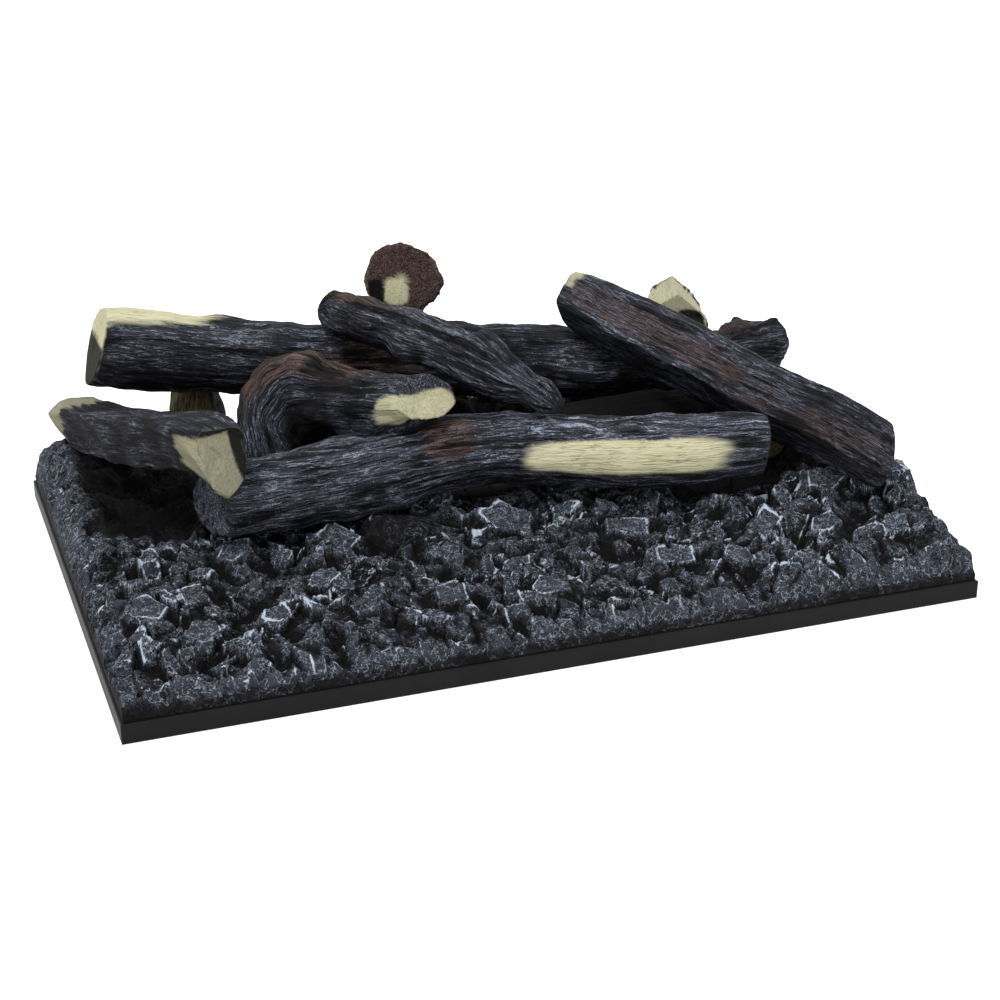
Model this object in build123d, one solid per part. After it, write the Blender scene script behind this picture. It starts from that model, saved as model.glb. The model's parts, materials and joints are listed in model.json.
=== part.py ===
from build123d import *
import math
import os
from dataclasses import dataclass

import numpy as np

# Gas log set: a folded sheet tray carries a cast ember bed, a twin-tube gas burner lies in the bed's
# slots, and twelve cast logs are stacked over it. Millimetres, X along the front, Y to the back, Z up,
# with the origin on the ground at the middle of the tray.

# Tray
TRAY_WIDTH = 680.0
TRAY_DEPTH = 489.0
SKIRT_HEIGHT = 15.0
SHEET = 1.5
TRAY_BEND = 1.2
CORNER_SEAM = 1.0

# Ember bed casting
BED_LEDGE = 2.0
BED_WALL = 13.0
BED_FLOOR = 16.0
BED_FLOOR_RIGHT = 42.0
BED_REAR_CORNER = 56.0
BED_CREST_LEFT = 28.0
BED_CREST_RIGHT = 57.0
BED_REAR_CREST = 34.0
BED_SIDE_RUN = 30.0
BED_RIGHT_RUN = 14.0
BED_INNER_FALL = 36.0
BED_RIGHT_FALL = 96.0
BED_STEP = 10.0
ROCK_SIZE = 34.0
ROCK_RELIEF = 9.0
FRONT_CREST_X_SHARES = (-0.50, -0.35, -0.05, 0.14, 0.25, 0.42, 0.50)
FRONT_CREST_Y_SHARES = (-0.01, -0.05, -0.02, -0.06, -0.17, -0.215, -0.235)
FRONT_CREST_RISE_SHARES = (0.0, 0.05, 0.22, 0.2, 0.3, 0.8, 1.0)

BED_SLOPE_POWER = 0.7
GRID_SCATTER_SHARE = 0.3
ROCK_SCATTER_SHARE = 0.42
ROCK_LOWEST_SHARE = -0.5
ROCK_HIGHEST_SHARE = 0.8
ROCK_LEAN_SHARE = 0.9
WALL_ROCK_SHARE = 0.25
RIM_ROCK_SHARE = 0.5
CHUNK_SIZE = 30.0
CHUNK_RISE = 8.0
CHUNK_SIDE_SLOPE = 1.3

# Room left round the burner in the casting's slots
SLOT_END_ROOM = 13.0
SLOT_SIDE_ROOM = 2.0
CROSSOVER_ROOM = 5.0
MIXER_ROOM = 11.0
PILOT_ROOM = 9.0
PILOT_REAR_ROOM = 22.0

# Burner
BURNER_OD = 22.0
TUBE_WALL = 1.0
BURNER_LENGTH = 424.0
BURNER_SPACING = 101.0
REAR_BURNER_INSET = 119.5
PORT_LENGTH = 9.0
PORT_WIDTH = 1.6
PORT_PITCH = 22.0
PORT_MARGIN = 30.0
CAP_THICKNESS = 1.5
CAP_SPIGOT = 5.0
WELD_GAP = 0.1
CROSSOVER_OD = 16.0
BRACKET_INSET = 18.0
BRACKET_SIDE = 7.0
BRACKET_RIM = 3.0
BRACKET_FOOT = 12.0
SCREW_RADIUS = 1.5
SCREW_LENGTH = 6.0
SCREW_HEAD_RADIUS = 3.0
SCREW_HEAD_HEIGHT = 2.0
SCREW_INSET = 4.5
FIT_CLEARANCE = 0.15

# Mixer, air shutter and gas inlet
MIXER_OD = 18.0
MIXER_END_GAP = 8.0
WINDOW_LENGTH = 11.0
WINDOW_WIDTH = 9.0
SHUTTER_WALL = 1.0
SHUTTER_LAP = 2.5
SHUTTER_CLEARANCE = 0.08
SHUTTER_TAB = 7.0
SHUTTER_END_GAP = 6.0
INLET_BLOCK = 26.0
INLET_LIFT = 2.0
INLET_DEPTH = 22.0
INLET_BORE_RADIUS = 7.5
INLET_BORE_LENGTH = 12.0
INLET_REAR_GAP = 5.0
SPUD_HEX_RADIUS = 6.5
SPUD_HEX_LENGTH = 6.0
SPUD_NOSE_RADIUS = 4.0
SPUD_NOSE_LENGTH = 13.0
SPUD_THREAD_RADIUS = 4.0
SPUD_THREAD_LENGTH = 6.0
SPUD_BORE_RADIUS = 2.0
SPUD_HOLE_RADIUS = 0.9
SPUD_TIP = 2.0
INLET_BRACKET_WIDTH = 44.0
INLET_BRACKET_FOOT = 16.0
INLET_SCREW_INSET = 6.0

# Pilot
PILOT_X = -119.0
PILOT_SHELF_HEIGHT = 22.0
PILOT_SHELF_DEPTH = 16.0
PILOT_BRACKET_SIDE = 8.0
PILOT_BRACKET_FOOT = 14.0
PILOT_SCREW_INSET = 8.0
PILOT_PITCH = 14.0
PILOT_FROM_SLOT = 6.0
PILOT_STEM_RADIUS = 3.5
PILOT_STEM_LENGTH = 7.0
PILOT_HOOD_RADIUS = 5.5
PILOT_HOOD_HEIGHT = 13.0
PILOT_HOOD_SLOT = 5.0
PROBE_RADIUS = 2.4
PROBE_TIP_RADIUS = 1.6
PROBE_RISE = 20.0
PROBE_TIP_LENGTH = 6.0
PROBE_NUT_RADIUS = 4.5
PROBE_NUT_LENGTH = 6.0
ELECTRODE_RADIUS = 3.0
ELECTRODE_COLLAR_RADIUS = 4.5
ELECTRODE_COLLAR_LENGTH = 3.0
ELECTRODE_RISE = 12.0
ELECTRODE_DROP = 9.0
ELECTRODE_WIRE_RADIUS = 0.9
ELECTRODE_WIRE_LENGTH = 8.0
PILOT_TUBE_RADIUS = 1.6
PILOT_TUBE_BEND = 4.5
PILOT_TUBE_HEIGHT = 5.0
PILOT_TUBE_CLEARANCE = 1.0

# Logs
SEAT_GAP = 0.3
LOG_SIDES = 14
LOG_END_SHARE = 0.9
LOG_END_RING_SHARE = 0.25
LOG_TANGENT_SHARE = 0.01
LOG_WAVE_SHARES = (0.03, 0.045, 0.03)
LOG_WAVE_SIDES = (2, 3, 5)
LOG_WAVE_TURNS = (11, 3, -7)
LOG_WAVE_PHASES = (4.3, 1.7, 2.9)
SPLIT_GRAZING_SHARE = 0.05
FRONT_LOG_LENGTH = 456.0
FRONT_LOG_THICKNESS = 62.0
REAR_LOG_LENGTH = 542.0
REAR_LOG_THICKNESS = 72.0
LEFT_SPLIT_LOG_LENGTH = 288.0
LEFT_SPLIT_LOG_THICKNESS = 60.0
CROOKED_LOG_LENGTH = 190.0
CROOKED_LOG_THICKNESS = 62.0
BRANCH_LOG_LENGTH = 256.0
BRANCH_LOG_THICKNESS = 43.0
ROUND_END_LOG_LENGTH = 98.0
ROUND_END_LOG_THICKNESS = 68.0
CROSSING_LOG_LENGTH = 352.0
CROSSING_LOG_THICKNESS = 64.0
REAR_RIGHT_LOG_LENGTH = 100.0
REAR_RIGHT_LOG_THICKNESS = 56.0
SMALL_REAR_LOG_LENGTH = 84.0
SMALL_REAR_LOG_THICKNESS = 44.0
LOW_RIGHT_LOG_LENGTH = 208.0
LOW_RIGHT_LOG_THICKNESS = 37.0
BACK_LEFT_LOG_LENGTH = 60.0
BACK_LEFT_LOG_THICKNESS = 52.0
LOW_CENTRE_LOG_LENGTH = 160.0
LOW_CENTRE_LOG_THICKNESS = 50.0
LOW_CENTRE_LOG_FORWARD = 6.529

CUT_OVERRUN = 2.0

# Sizes that follow from the ones above
PLATE_TOP = SKIRT_HEIGHT
BURNER_Z = PLATE_TOP + INLET_LIFT + INLET_BLOCK / 2
HALF_WIDTH = TRAY_WIDTH / 2
HALF_DEPTH = TRAY_DEPTH / 2
REAR_BURNER_Y = HALF_DEPTH - REAR_BURNER_INSET
FRONT_BURNER_Y = REAR_BURNER_Y - BURNER_SPACING
LOW_CENTRE_LOG_Y = (FRONT_BURNER_Y + REAR_BURNER_Y) / 2 - LOW_CENTRE_LOG_FORWARD
BED_HALF_WIDTH = HALF_WIDTH - BED_LEDGE
BED_HALF_DEPTH = HALF_DEPTH - BED_LEDGE
BRACKET_WIDTH = BURNER_OD + 2 * BRACKET_SIDE
PILOT_BRACKET_WIDTH = 2 * (PILOT_PITCH + PILOT_BRACKET_SIDE)
SHUTTER_LENGTH = WINDOW_LENGTH + 2 * SHUTTER_LAP
SLOT_LENGTH = BURNER_LENGTH + 2 * SLOT_END_ROOM
SLOT_WIDTH = BRACKET_WIDTH + 2 * SLOT_SIDE_ROOM


def block(low, high):
    """Box between two opposite corners."""
    size = [b - a for a, b in zip(low, high)]
    middle = [(a + b) / 2 for a, b in zip(low, high)]
    return Pos(*middle) * Box(*size)


def rod(start, end, radius):
    """Round bar from one point to another."""
    start, end = Vector(*start), Vector(*end)
    plane = Plane(origin=start, z_dir=end - start)
    return extrude(plane * Circle(radius), (end - start).length)


def rotation_about_z(heading):
    turn = math.radians(heading)
    cosine, sine = math.cos(turn), math.sin(turn)
    return np.array([[cosine, -sine, 0], [sine, cosine, 0], [0, 0, 1]])


def rotation_about_y(pitch):
    """Lifts the +X end by the pitch, in radians."""
    cosine, sine = math.cos(pitch), math.sin(pitch)
    return np.array([[cosine, 0, -sine], [0, 1, 0], [sine, 0, cosine]])


@dataclass
class Mesh:
    """A closed surface of triangles: points (n, 3) and corner numbers (m, 3)."""

    points: np.ndarray
    triangles: np.ndarray

    def edges(self):
        """Every edge once, as pairs of corner numbers."""
        pairs = np.vstack([self.triangles[:, [0, 1]], self.triangles[:, [1, 2]], self.triangles[:, [2, 0]]])
        return np.unique(np.sort(pairs, axis=1), axis=0)

    def solid(self, flat_loop=()):
        """The solid inside the surface, closed by one flat face where a loop of corner numbers is given."""
        corners = [Vector(*point) for point in self.points.tolist()]
        loops = self.triangles.tolist()
        if len(flat_loop):
            loops.append(flat_loop)
        faces = [Face(Wire.make_polygon([corners[i] for i in loop], close=True)) for loop in loops]
        return Solid(Shell(faces))


def cross2(a, b):
    return a[..., 0] * b[..., 1] - a[..., 1] * b[..., 0]


def corner_gaps(corners, surface, sign):
    """Least height of each corner over (sign 1) or under (sign -1) the triangles that it lies over."""
    a, b, c = (surface.points[surface.triangles[:, i]] for i in range(3))
    area = cross2(b - a, c - a)
    offset = corners[:, None, :2] - a[None, :, :2]
    with np.errstate(divide="ignore", invalid="ignore"):
        share_b = cross2(offset, (c - a)[None, :, :2]) / area
        share_c = cross2((b - a)[None, :, :2], offset) / area
        inside = (area != 0) & (share_b >= 0) & (share_c >= 0) & (share_b + share_c <= 1)
        height = a[:, 2] + share_b * (b - a)[:, 2] + share_c * (c - a)[:, 2]
    return np.where(inside, sign * (corners[:, None, 2] - height), np.inf)


def edge_gaps(upper, lower):
    """Height between each pair of edges where they cross in plan, one row for each upper edge."""
    upper_edges, lower_edges = upper.edges(), lower.edges()
    a, b = upper.points[upper_edges[:, 0]], upper.points[upper_edges[:, 1]]
    c, d = lower.points[lower_edges[:, 0]], lower.points[lower_edges[:, 1]]
    run, other = (b - a)[:, None, :], (d - c)[None, :, :]
    between = c[None, :, :] - a[:, None, :]
    turn = cross2(run, other)
    with np.errstate(divide="ignore", invalid="ignore"):
        along = cross2(between, other) / turn
        across = cross2(between, run) / turn
        crossing = (along >= 0) & (along <= 1) & (across >= 0) & (across <= 1)
        height = a[:, None, 2] + along * run[..., 2] - c[None, :, 2] - across * other[..., 2]
    return np.where(crossing, height, np.inf)


def near(surface, other):
    """The triangles of a surface whose plan box meets the other's."""
    low, high = other.points[:, :2].min(0), other.points[:, :2].max(0)
    corners = surface.points[surface.triangles][:, :, :2]
    meets = (corners.max(1) >= low).all(1) & (corners.min(1) <= high).all(1)
    used, numbers = np.unique(surface.triangles[meets], return_inverse=True)
    return Mesh(surface.points[used], numbers.reshape(-1, 3))


def fall_of_halves(upper, along, supports):
    """How far the start half and the end half of a log can each fall before they meet a support."""
    first, second = [], []
    edges = upper.edges()
    for support in supports:
        lower = near(support, upper)
        if len(lower.triangles) == 0:
            continue
        own_corners = corner_gaps(upper.points, lower, 1).min(1)
        other_corners = corner_gaps(lower.points, upper, -1).min(0)
        crossings = edge_gaps(upper, lower).min(1)
        shares = (
            (own_corners, along),
            (other_corners, along[upper.triangles].mean(1)),
            (crossings, along[edges].mean(1)),
        )
        for gaps, places in shares:
            first.append(gaps[places < 0.5].min(initial=np.inf))
            second.append(gaps[places >= 0.5].min(initial=np.inf))
    return min(first), min(second)


@dataclass(frozen=True)
class Log:
    """A cast log, placed by shares of the tray and turned to a heading in degrees.

    The centre line's points are shares of the length: along, to the left, and up. Girths are shares of
    the thickness at even steps, as width and height. A split is a flat side: the angle that it faces,
    and its distance from the centre as a share of the half thickness. A knot is a swelling: its place
    along, its angle, its rise as a share of the half thickness and its spread as a share of the thickness.
    The ends are cut off square, or leaning by the given slopes, sideways and upwards. A log that balances
    on one support has a fixed pitch in degrees.
    """

    length: float
    thickness: float
    middle_shares: tuple
    heading: float
    line_shares: tuple
    girth_shares: tuple
    rings: int = 12
    split_shares: tuple = ()
    knot_shares: tuple = ()
    start_slope_shares: tuple = (0, 0)
    end_slope_shares: tuple = (0, 0)
    fixed_pitch: float = None
    seed: int = 1

    def centre_line(self, along):
        """Smooth curve through the centre line's points, evenly spaced in their own number."""
        shares = np.array(self.line_shares, float)
        steps = len(shares) - 1
        ends = (2 * shares[:1] - shares[1:2], 2 * shares[-1:] - shares[-2:-1])
        padded = np.vstack([ends[0], shares, ends[1]])
        place = np.clip(along, 0, 1) * steps
        number = np.minimum(place.astype(int), steps - 1)
        t = (place - number)[:, None]
        p0, p1, p2, p3 = (padded[number + i] for i in range(4))
        bend = 2 * p0 - 5 * p1 + 4 * p2 - p3 + t * (3 * (p1 - p2) + p3 - p0)
        curve = p1 + t / 2 * (p2 - p0 + t * bend)
        curve = curve - (shares[0] + shares[-1]) / 2
        return curve * self.length

    def radii(self, along, angle):
        """Distance from the centre line to the bark, by place along the log and angle round it."""
        girths = np.array(self.girth_shares, float)
        steps = np.linspace(0, 1, len(girths))
        width = np.interp(along, steps, girths[:, 0]) * self.thickness / 2
        height = np.interp(along, steps, girths[:, 1]) * self.thickness / 2
        radius = 1 / np.hypot(np.cos(angle) / width, np.sin(angle) / height)
        waves = zip(LOG_WAVE_SHARES, LOG_WAVE_SIDES, LOG_WAVE_TURNS, LOG_WAVE_PHASES)
        radius = radius * (1 + sum(
            share * np.sin(sides * angle + turns * along + self.seed * phase)
            for share, sides, turns, phase in waves
        ))
        for place, facing, rise, spread in self.knot_shares:
            reach = (along - place) * self.length / (spread * self.thickness)
            turn = np.angle(np.exp(1j * (angle - math.radians(facing))))
            radius = radius + rise * self.thickness / 2 * np.exp(-reach**2 - (turn / (1.3 * spread)) ** 2)
        for facing, share in self.split_shares:
            towards = np.maximum(np.cos(angle - math.radians(facing)), SPLIT_GRAZING_SHARE)
            radius = np.minimum(radius, share * self.thickness / 2 / towards)
        return radius

    def mesh(self):
        """The log lying along X, about the middle of its ends."""
        steps = np.linspace(0, 1, self.rings)
        steps[1] *= LOG_END_RING_SHARE
        steps[-2] = 1 - steps[1]
        angles = np.linspace(0, 2 * np.pi, LOG_SIDES, endpoint=False)
        line = self.centre_line(steps)
        ahead = self.centre_line(np.minimum(steps + LOG_TANGENT_SHARE, 1))
        tangent = ahead - self.centre_line(np.maximum(steps - LOG_TANGENT_SHARE, 0))
        tangent /= np.linalg.norm(tangent, axis=1, keepdims=True)
        left = np.cross([0, 0, 1], tangent)
        left /= np.linalg.norm(left, axis=1, keepdims=True)
        up = np.cross(tangent, left)
        along, angle = np.meshgrid(steps, angles, indexing="ij")
        radius = self.radii(along, angle)
        radius[[0, -1]] *= LOG_END_SHARE
        sideways, upwards = radius * np.cos(angle), radius * np.sin(angle)
        points = line[:, None, :] + sideways[..., None] * left[:, None, :]
        points += upwards[..., None] * up[:, None, :]
        for rows, slopes in (((0, 1), self.start_slope_shares), ((-1, -2), self.end_slope_shares)):
            for row in rows:
                lean = slopes[0] * sideways[row] + slopes[1] * upwards[row]
                points[row] += lean[:, None] * tangent[row]
        flat = points.reshape(-1, 3)
        start, end = len(flat), len(flat) + 1
        flat = np.vstack([flat, points[0].mean(0), points[-1].mean(0)])
        triangles = []
        for ring in range(self.rings - 1):
            for side in range(LOG_SIDES):
                a = ring * LOG_SIDES + side
                b = ring * LOG_SIDES + (side + 1) % LOG_SIDES
                triangles.append((a, b + LOG_SIDES, b))
                triangles.append((a, a + LOG_SIDES, b + LOG_SIDES))
        last = (self.rings - 1) * LOG_SIDES
        for side in range(LOG_SIDES):
            after = (side + 1) % LOG_SIDES
            triangles.append((start, side, after))
            triangles.append((end, last + after, last + side))
        return Mesh(flat, np.array(triangles))

    def settled(self, supports):
        """The log lowered on its supports until both halves rest, each a seat gap above what carries it."""
        shape = self.mesh()
        along = np.clip(shape.points[:, 0] / self.length + 0.5, 0, 1)
        middle = np.array([self.middle_shares[0] * TRAY_WIDTH, self.middle_shares[1] * TRAY_DEPTH, 0])
        drop_from = TRAY_WIDTH
        pitch = math.radians(self.fixed_pitch or 0)
        arm = self.length / 3

        def placed(height, lift):
            turned = shape.points @ (rotation_about_z(self.heading) @ rotation_about_y(lift)).T
            return Mesh(turned + middle + [0, 0, height], shape.triangles)

        height = drop_from
        if self.fixed_pitch is None:
            start_height = end_height = drop_from
            for _ in range(8):
                pitch = math.atan2(end_height - start_height, 2 * arm)
                height = (start_height + end_height) / 2
                start_fall, end_fall = fall_of_halves(placed(height, pitch), along, supports)
                start_height -= start_fall
                end_height -= end_fall
            pitch = math.atan2(end_height - start_height, 2 * arm)
            height = (start_height + end_height) / 2
        fall = min(fall_of_halves(placed(height, pitch), along, supports))
        return placed(height - fall + SEAT_GAP, pitch)


def grid_lines(low, high, marks, step):
    """Lines from low to high that pass through the marks, about a step apart."""
    stops = sorted({low, high, *marks})
    lines = [low]
    for a, b in zip(stops, stops[1:]):
        count = max(1, round((b - a) / step))
        lines += [a + (b - a) * i / count for i in range(1, count + 1)]
    return np.array(lines)


def slot_edges():
    """Plan boxes (x low, x high, y low, y high) of the casting's open bays, named for what lies in them."""
    half_length, half_width = SLOT_LENGTH / 2, SLOT_WIDTH / 2
    half_crossover = CROSSOVER_OD / 2 + CROSSOVER_ROOM
    half_mixer = INLET_BRACKET_WIDTH / 2 + MIXER_ROOM
    half_pilot = PILOT_BRACKET_WIDTH / 2 + PILOT_ROOM
    front_edge = FRONT_BURNER_Y - half_width
    rear_edge = REAR_BURNER_Y + half_width
    pilot_back = pilot_row_y() + PILOT_SHELF_DEPTH / 2 + PILOT_BRACKET_FOOT + PILOT_REAR_ROOM
    return {
        "front_burner": (-half_length, half_length, front_edge, front_edge + SLOT_WIDTH),
        "rear_burner": (-half_length, half_length, REAR_BURNER_Y - half_width, rear_edge),
        "crossover": (-half_crossover, half_crossover, FRONT_BURNER_Y, REAR_BURNER_Y),
        "mixer": (-half_mixer, half_mixer, REAR_BURNER_Y, HALF_DEPTH),
        "pilot": (PILOT_X - half_pilot, PILOT_X + half_pilot, REAR_BURNER_Y, pilot_back),
    }


def smooth(share):
    share = np.clip(share, 0, 1)
    return share * share * (3 - 2 * share)


def bed_height(x, y):
    """Height of the ember bed over the plate, without its rocks.

    A wall stands all round. A slope climbs from it to a crest, and falls inside the crest to the floor
    that the logs and the burner lie in.
    """
    crest_y = np.interp(x / TRAY_WIDTH, FRONT_CREST_X_SHARES, FRONT_CREST_Y_SHARES) * TRAY_DEPTH
    rise = np.interp(x / TRAY_WIDTH, FRONT_CREST_X_SHARES, FRONT_CREST_RISE_SHARES)
    front_crest = BED_CREST_LEFT + (BED_CREST_RIGHT - BED_CREST_LEFT) * rise
    rear_crest = BED_REAR_CREST + (BED_REAR_CORNER - BED_REAR_CREST) * np.abs(x / BED_HALF_WIDTH) ** 4
    backward = np.clip((y - crest_y) / (BED_HALF_DEPTH - crest_y), 0, 1)
    crest = front_crest + (rear_crest - front_crest) * backward
    climbs = (
        (y + BED_HALF_DEPTH) / (crest_y + BED_HALF_DEPTH),
        (x + BED_HALF_WIDTH) / BED_SIDE_RUN,
        (BED_HALF_WIDTH - x) / BED_RIGHT_RUN,
        (BED_HALF_DEPTH - y) / BED_SIDE_RUN,
    )
    outside = BED_WALL + (crest - BED_WALL) * np.clip(np.minimum.reduce(climbs), 0, 1) ** BED_SLOPE_POWER
    falls = (
        (y - crest_y) / BED_INNER_FALL,
        (x + BED_HALF_WIDTH - BED_SIDE_RUN) / BED_INNER_FALL,
        (BED_HALF_WIDTH - BED_RIGHT_RUN - x) / BED_RIGHT_FALL,
        (BED_HALF_DEPTH - BED_SIDE_RUN - y) / BED_INNER_FALL,
    )
    inside = smooth(np.minimum.reduce(falls))
    rightward = smooth((x - SLOT_LENGTH / 2) / BED_INNER_FALL + 0.5)
    floor = BED_FLOOR + (BED_FLOOR_RIGHT - BED_FLOOR) * rightward * backward
    return outside + (floor - outside) * inside


def rock_height(x, y):
    """Relief of the rocks: each is a leaning facet round its own seed, higher or lower than the next."""
    generator = np.random.default_rng(7)
    columns, rows = round(TRAY_WIDTH / ROCK_SIZE), round(TRAY_DEPTH / ROCK_SIZE)
    column, row = np.meshgrid(np.arange(columns), np.arange(rows), indexing="ij")
    seeds = np.stack([column.ravel() + 0.5, row.ravel() + 0.5], axis=1)
    seeds += generator.uniform(-ROCK_SCATTER_SHARE, ROCK_SCATTER_SHARE, seeds.shape)
    seeds *= [TRAY_WIDTH / columns, TRAY_DEPTH / rows]
    seeds -= [HALF_WIDTH, HALF_DEPTH]
    lift = generator.uniform(ROCK_LOWEST_SHARE, ROCK_HIGHEST_SHARE, len(seeds))
    lean = generator.normal(0, ROCK_LEAN_SHARE, seeds.shape)
    offset = np.stack([x, y], axis=-1)[..., None, :] - seeds
    nearest = (offset**2).sum(-1).argmin(-1)
    own = np.take_along_axis(offset, nearest[..., None, None], axis=-2)[..., 0, :]
    return ROCK_RELIEF * (lift[nearest] + (lean[nearest] * own).sum(-1) / ROCK_SIZE)


@dataclass(frozen=True)
class Chunk:
    """A big rock of the casting: a flat top with straight edges, leaning, over steep sides.

    Its place is in shares of the tray, its length and width in shares of the chunk size, and its rise over
    the slope in shares of the chunk rise. The top leans by the given slopes, along and across.
    """

    place_shares: tuple
    size_shares: tuple
    heading: float
    rise_share: float = 1.0
    lean_shares: tuple = (0, 0)
    sides: int = 5

    def half_sizes(self):
        return np.array(self.size_shares) * CHUNK_SIZE / 2

    def middle(self):
        return np.array(self.place_shares) * [TRAY_WIDTH, TRAY_DEPTH]

    def top(self, along, across):
        """Height of the plane of the top, from the plate."""
        base = float(bed_height(*self.middle()))
        lean = self.lean_shares[0] * along + self.lean_shares[1] * across
        return base + self.rise_share * CHUNK_RISE + lean

    def height(self, x, y):
        """The top inside the outline, and a steep fall from it outside."""
        turn = math.radians(self.heading)
        over_x, over_y = x - self.middle()[0], y - self.middle()[1]
        along = over_x * math.cos(turn) + over_y * math.sin(turn)
        across = over_y * math.cos(turn) - over_x * math.sin(turn)
        half_length, half_width = self.half_sizes()
        angles = [2 * math.pi * side / self.sides for side in range(self.sides)]
        reach = [along / half_length * math.cos(a) + across / half_width * math.sin(a) for a in angles]
        outside = np.maximum(np.max(reach, axis=0) / math.cos(math.pi / self.sides) - 1, 0)
        return self.top(along, across) - CHUNK_SIDE_SLOPE * half_width * outside

    def corners(self):
        """The top's corners, as x, y and height from the plate."""
        half_length, half_width = self.half_sizes()
        turn = math.radians(self.heading)
        for side in range(self.sides):
            angle = math.pi * (2 * side + 1) / self.sides
            along, across = half_length * math.cos(angle), half_width * math.sin(angle)
            x = self.middle()[0] + along * math.cos(turn) - across * math.sin(turn)
            y = self.middle()[1] + along * math.sin(turn) + across * math.cos(turn)
            yield x, y, self.top(along, across)


# The casting's big rocks, from left to right
CHUNKS = (
    Chunk((-0.459, -0.027), (1.1, 0.8), 70, 1.0, (0.1, 0.3)),
    Chunk((-0.442, -0.273), (1.15, 0.9), -35, 1.1, (-0.1, 0.25)),
    Chunk((-0.419, -0.100), (0.7, 0.6), 20, 0.9, (0.2, 0.2), 4),
    Chunk((-0.394, -0.364), (0.95, 0.9), 5, 0.9, (0.05, 0.3)),
    Chunk((-0.388, -0.254), (0.9, 0.85), 10, 1.0, (0.0, 0.3), 4),
    Chunk((-0.323, -0.264), (0.75, 0.6), 15, 0.8, (0.1, 0.4), 4),
    Chunk((-0.322, -0.125), (1.0, 0.85), 0, 0.9, (0.3, 0.2)),
    Chunk((-0.311, -0.340), (0.9, 0.6), 25, 0.7, (0.0, 0.4)),
    Chunk((-0.242, -0.257), (0.8, 0.9), 80, 0.9, (0.2, -0.3)),
    Chunk((-0.201, -0.135), (1.5, 0.85), -50, 0.9, (-0.15, 0.3), 4),
    Chunk((-0.119, -0.366), (1.05, 0.8), -5, 0.8, (0.05, 0.35), 4),
    Chunk((-0.093, -0.235), (0.85, 0.7), 30, 0.9, (0.25, 0.2), 4),
    Chunk((-0.026, -0.307), (0.8, 0.8), 55, 0.9, (0.1, -0.3)),
    Chunk((-0.014, -0.399), (0.9, 0.8), 15, 1.2, (0.1, 0.2), 6),
    Chunk((0.001, -0.160), (1.6, 1.1), -25, 1.0, (-0.15, 0.35)),
    Chunk((0.130, -0.245), (1.6, 0.8), -20, 0.9, (-0.1, 0.3), 4),
    Chunk((0.156, -0.355), (1.4, 0.7), -8, 0.7, (0.0, 0.35), 4),
    Chunk((0.225, -0.390), (0.8, 0.9), 70, 0.8, (0.2, 0.3)),
    Chunk((0.280, -0.330), (1.4, 0.8), 35, 1.0, (0.25, 0.3), 4),
    Chunk((0.349, -0.361), (1.0, 0.75), 10, 0.9, (0.2, 0.2)),
    Chunk((0.395, -0.246), (1.4, 1.0), 20, 0.8, (0.1, 0.2)),
    Chunk((0.423, -0.412), (0.85, 0.8), -15, 1.1, (0.1, 0.3), 4),
    Chunk((0.472, -0.300), (0.8, 0.7), 80, 0.9, (0.2, 0.2)),
)


def snapped(x, y, height, fixed):
    """The grid with the point nearest to each corner of a chunk moved to it, and no scatter round those."""
    generator = np.random.default_rng(3)
    shift = generator.uniform(-GRID_SCATTER_SHARE, GRID_SCATTER_SHARE, (2,) + x.shape) * BED_STEP * ~fixed
    taken = {}
    for corner_x, corner_y, level in (corner for chunk in CHUNKS for corner in chunk.corners()):
        i = np.abs(x[:, 0] - corner_x).argmin()
        j = np.abs(y[0] - corner_y).argmin()
        free = not fixed[i, j] and level > height[i, j] - CHUNK_RISE
        if free and (i, j) not in taken:
            taken[i, j] = (corner_x, corner_y, level)
            shift[:, i - 1 : i + 2, j - 1 : j + 2] = 0
    moved = np.stack([x + shift[0], y + shift[1], height], axis=-1)
    for place, corner in taken.items():
        moved[place] = corner
    return moved


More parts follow.
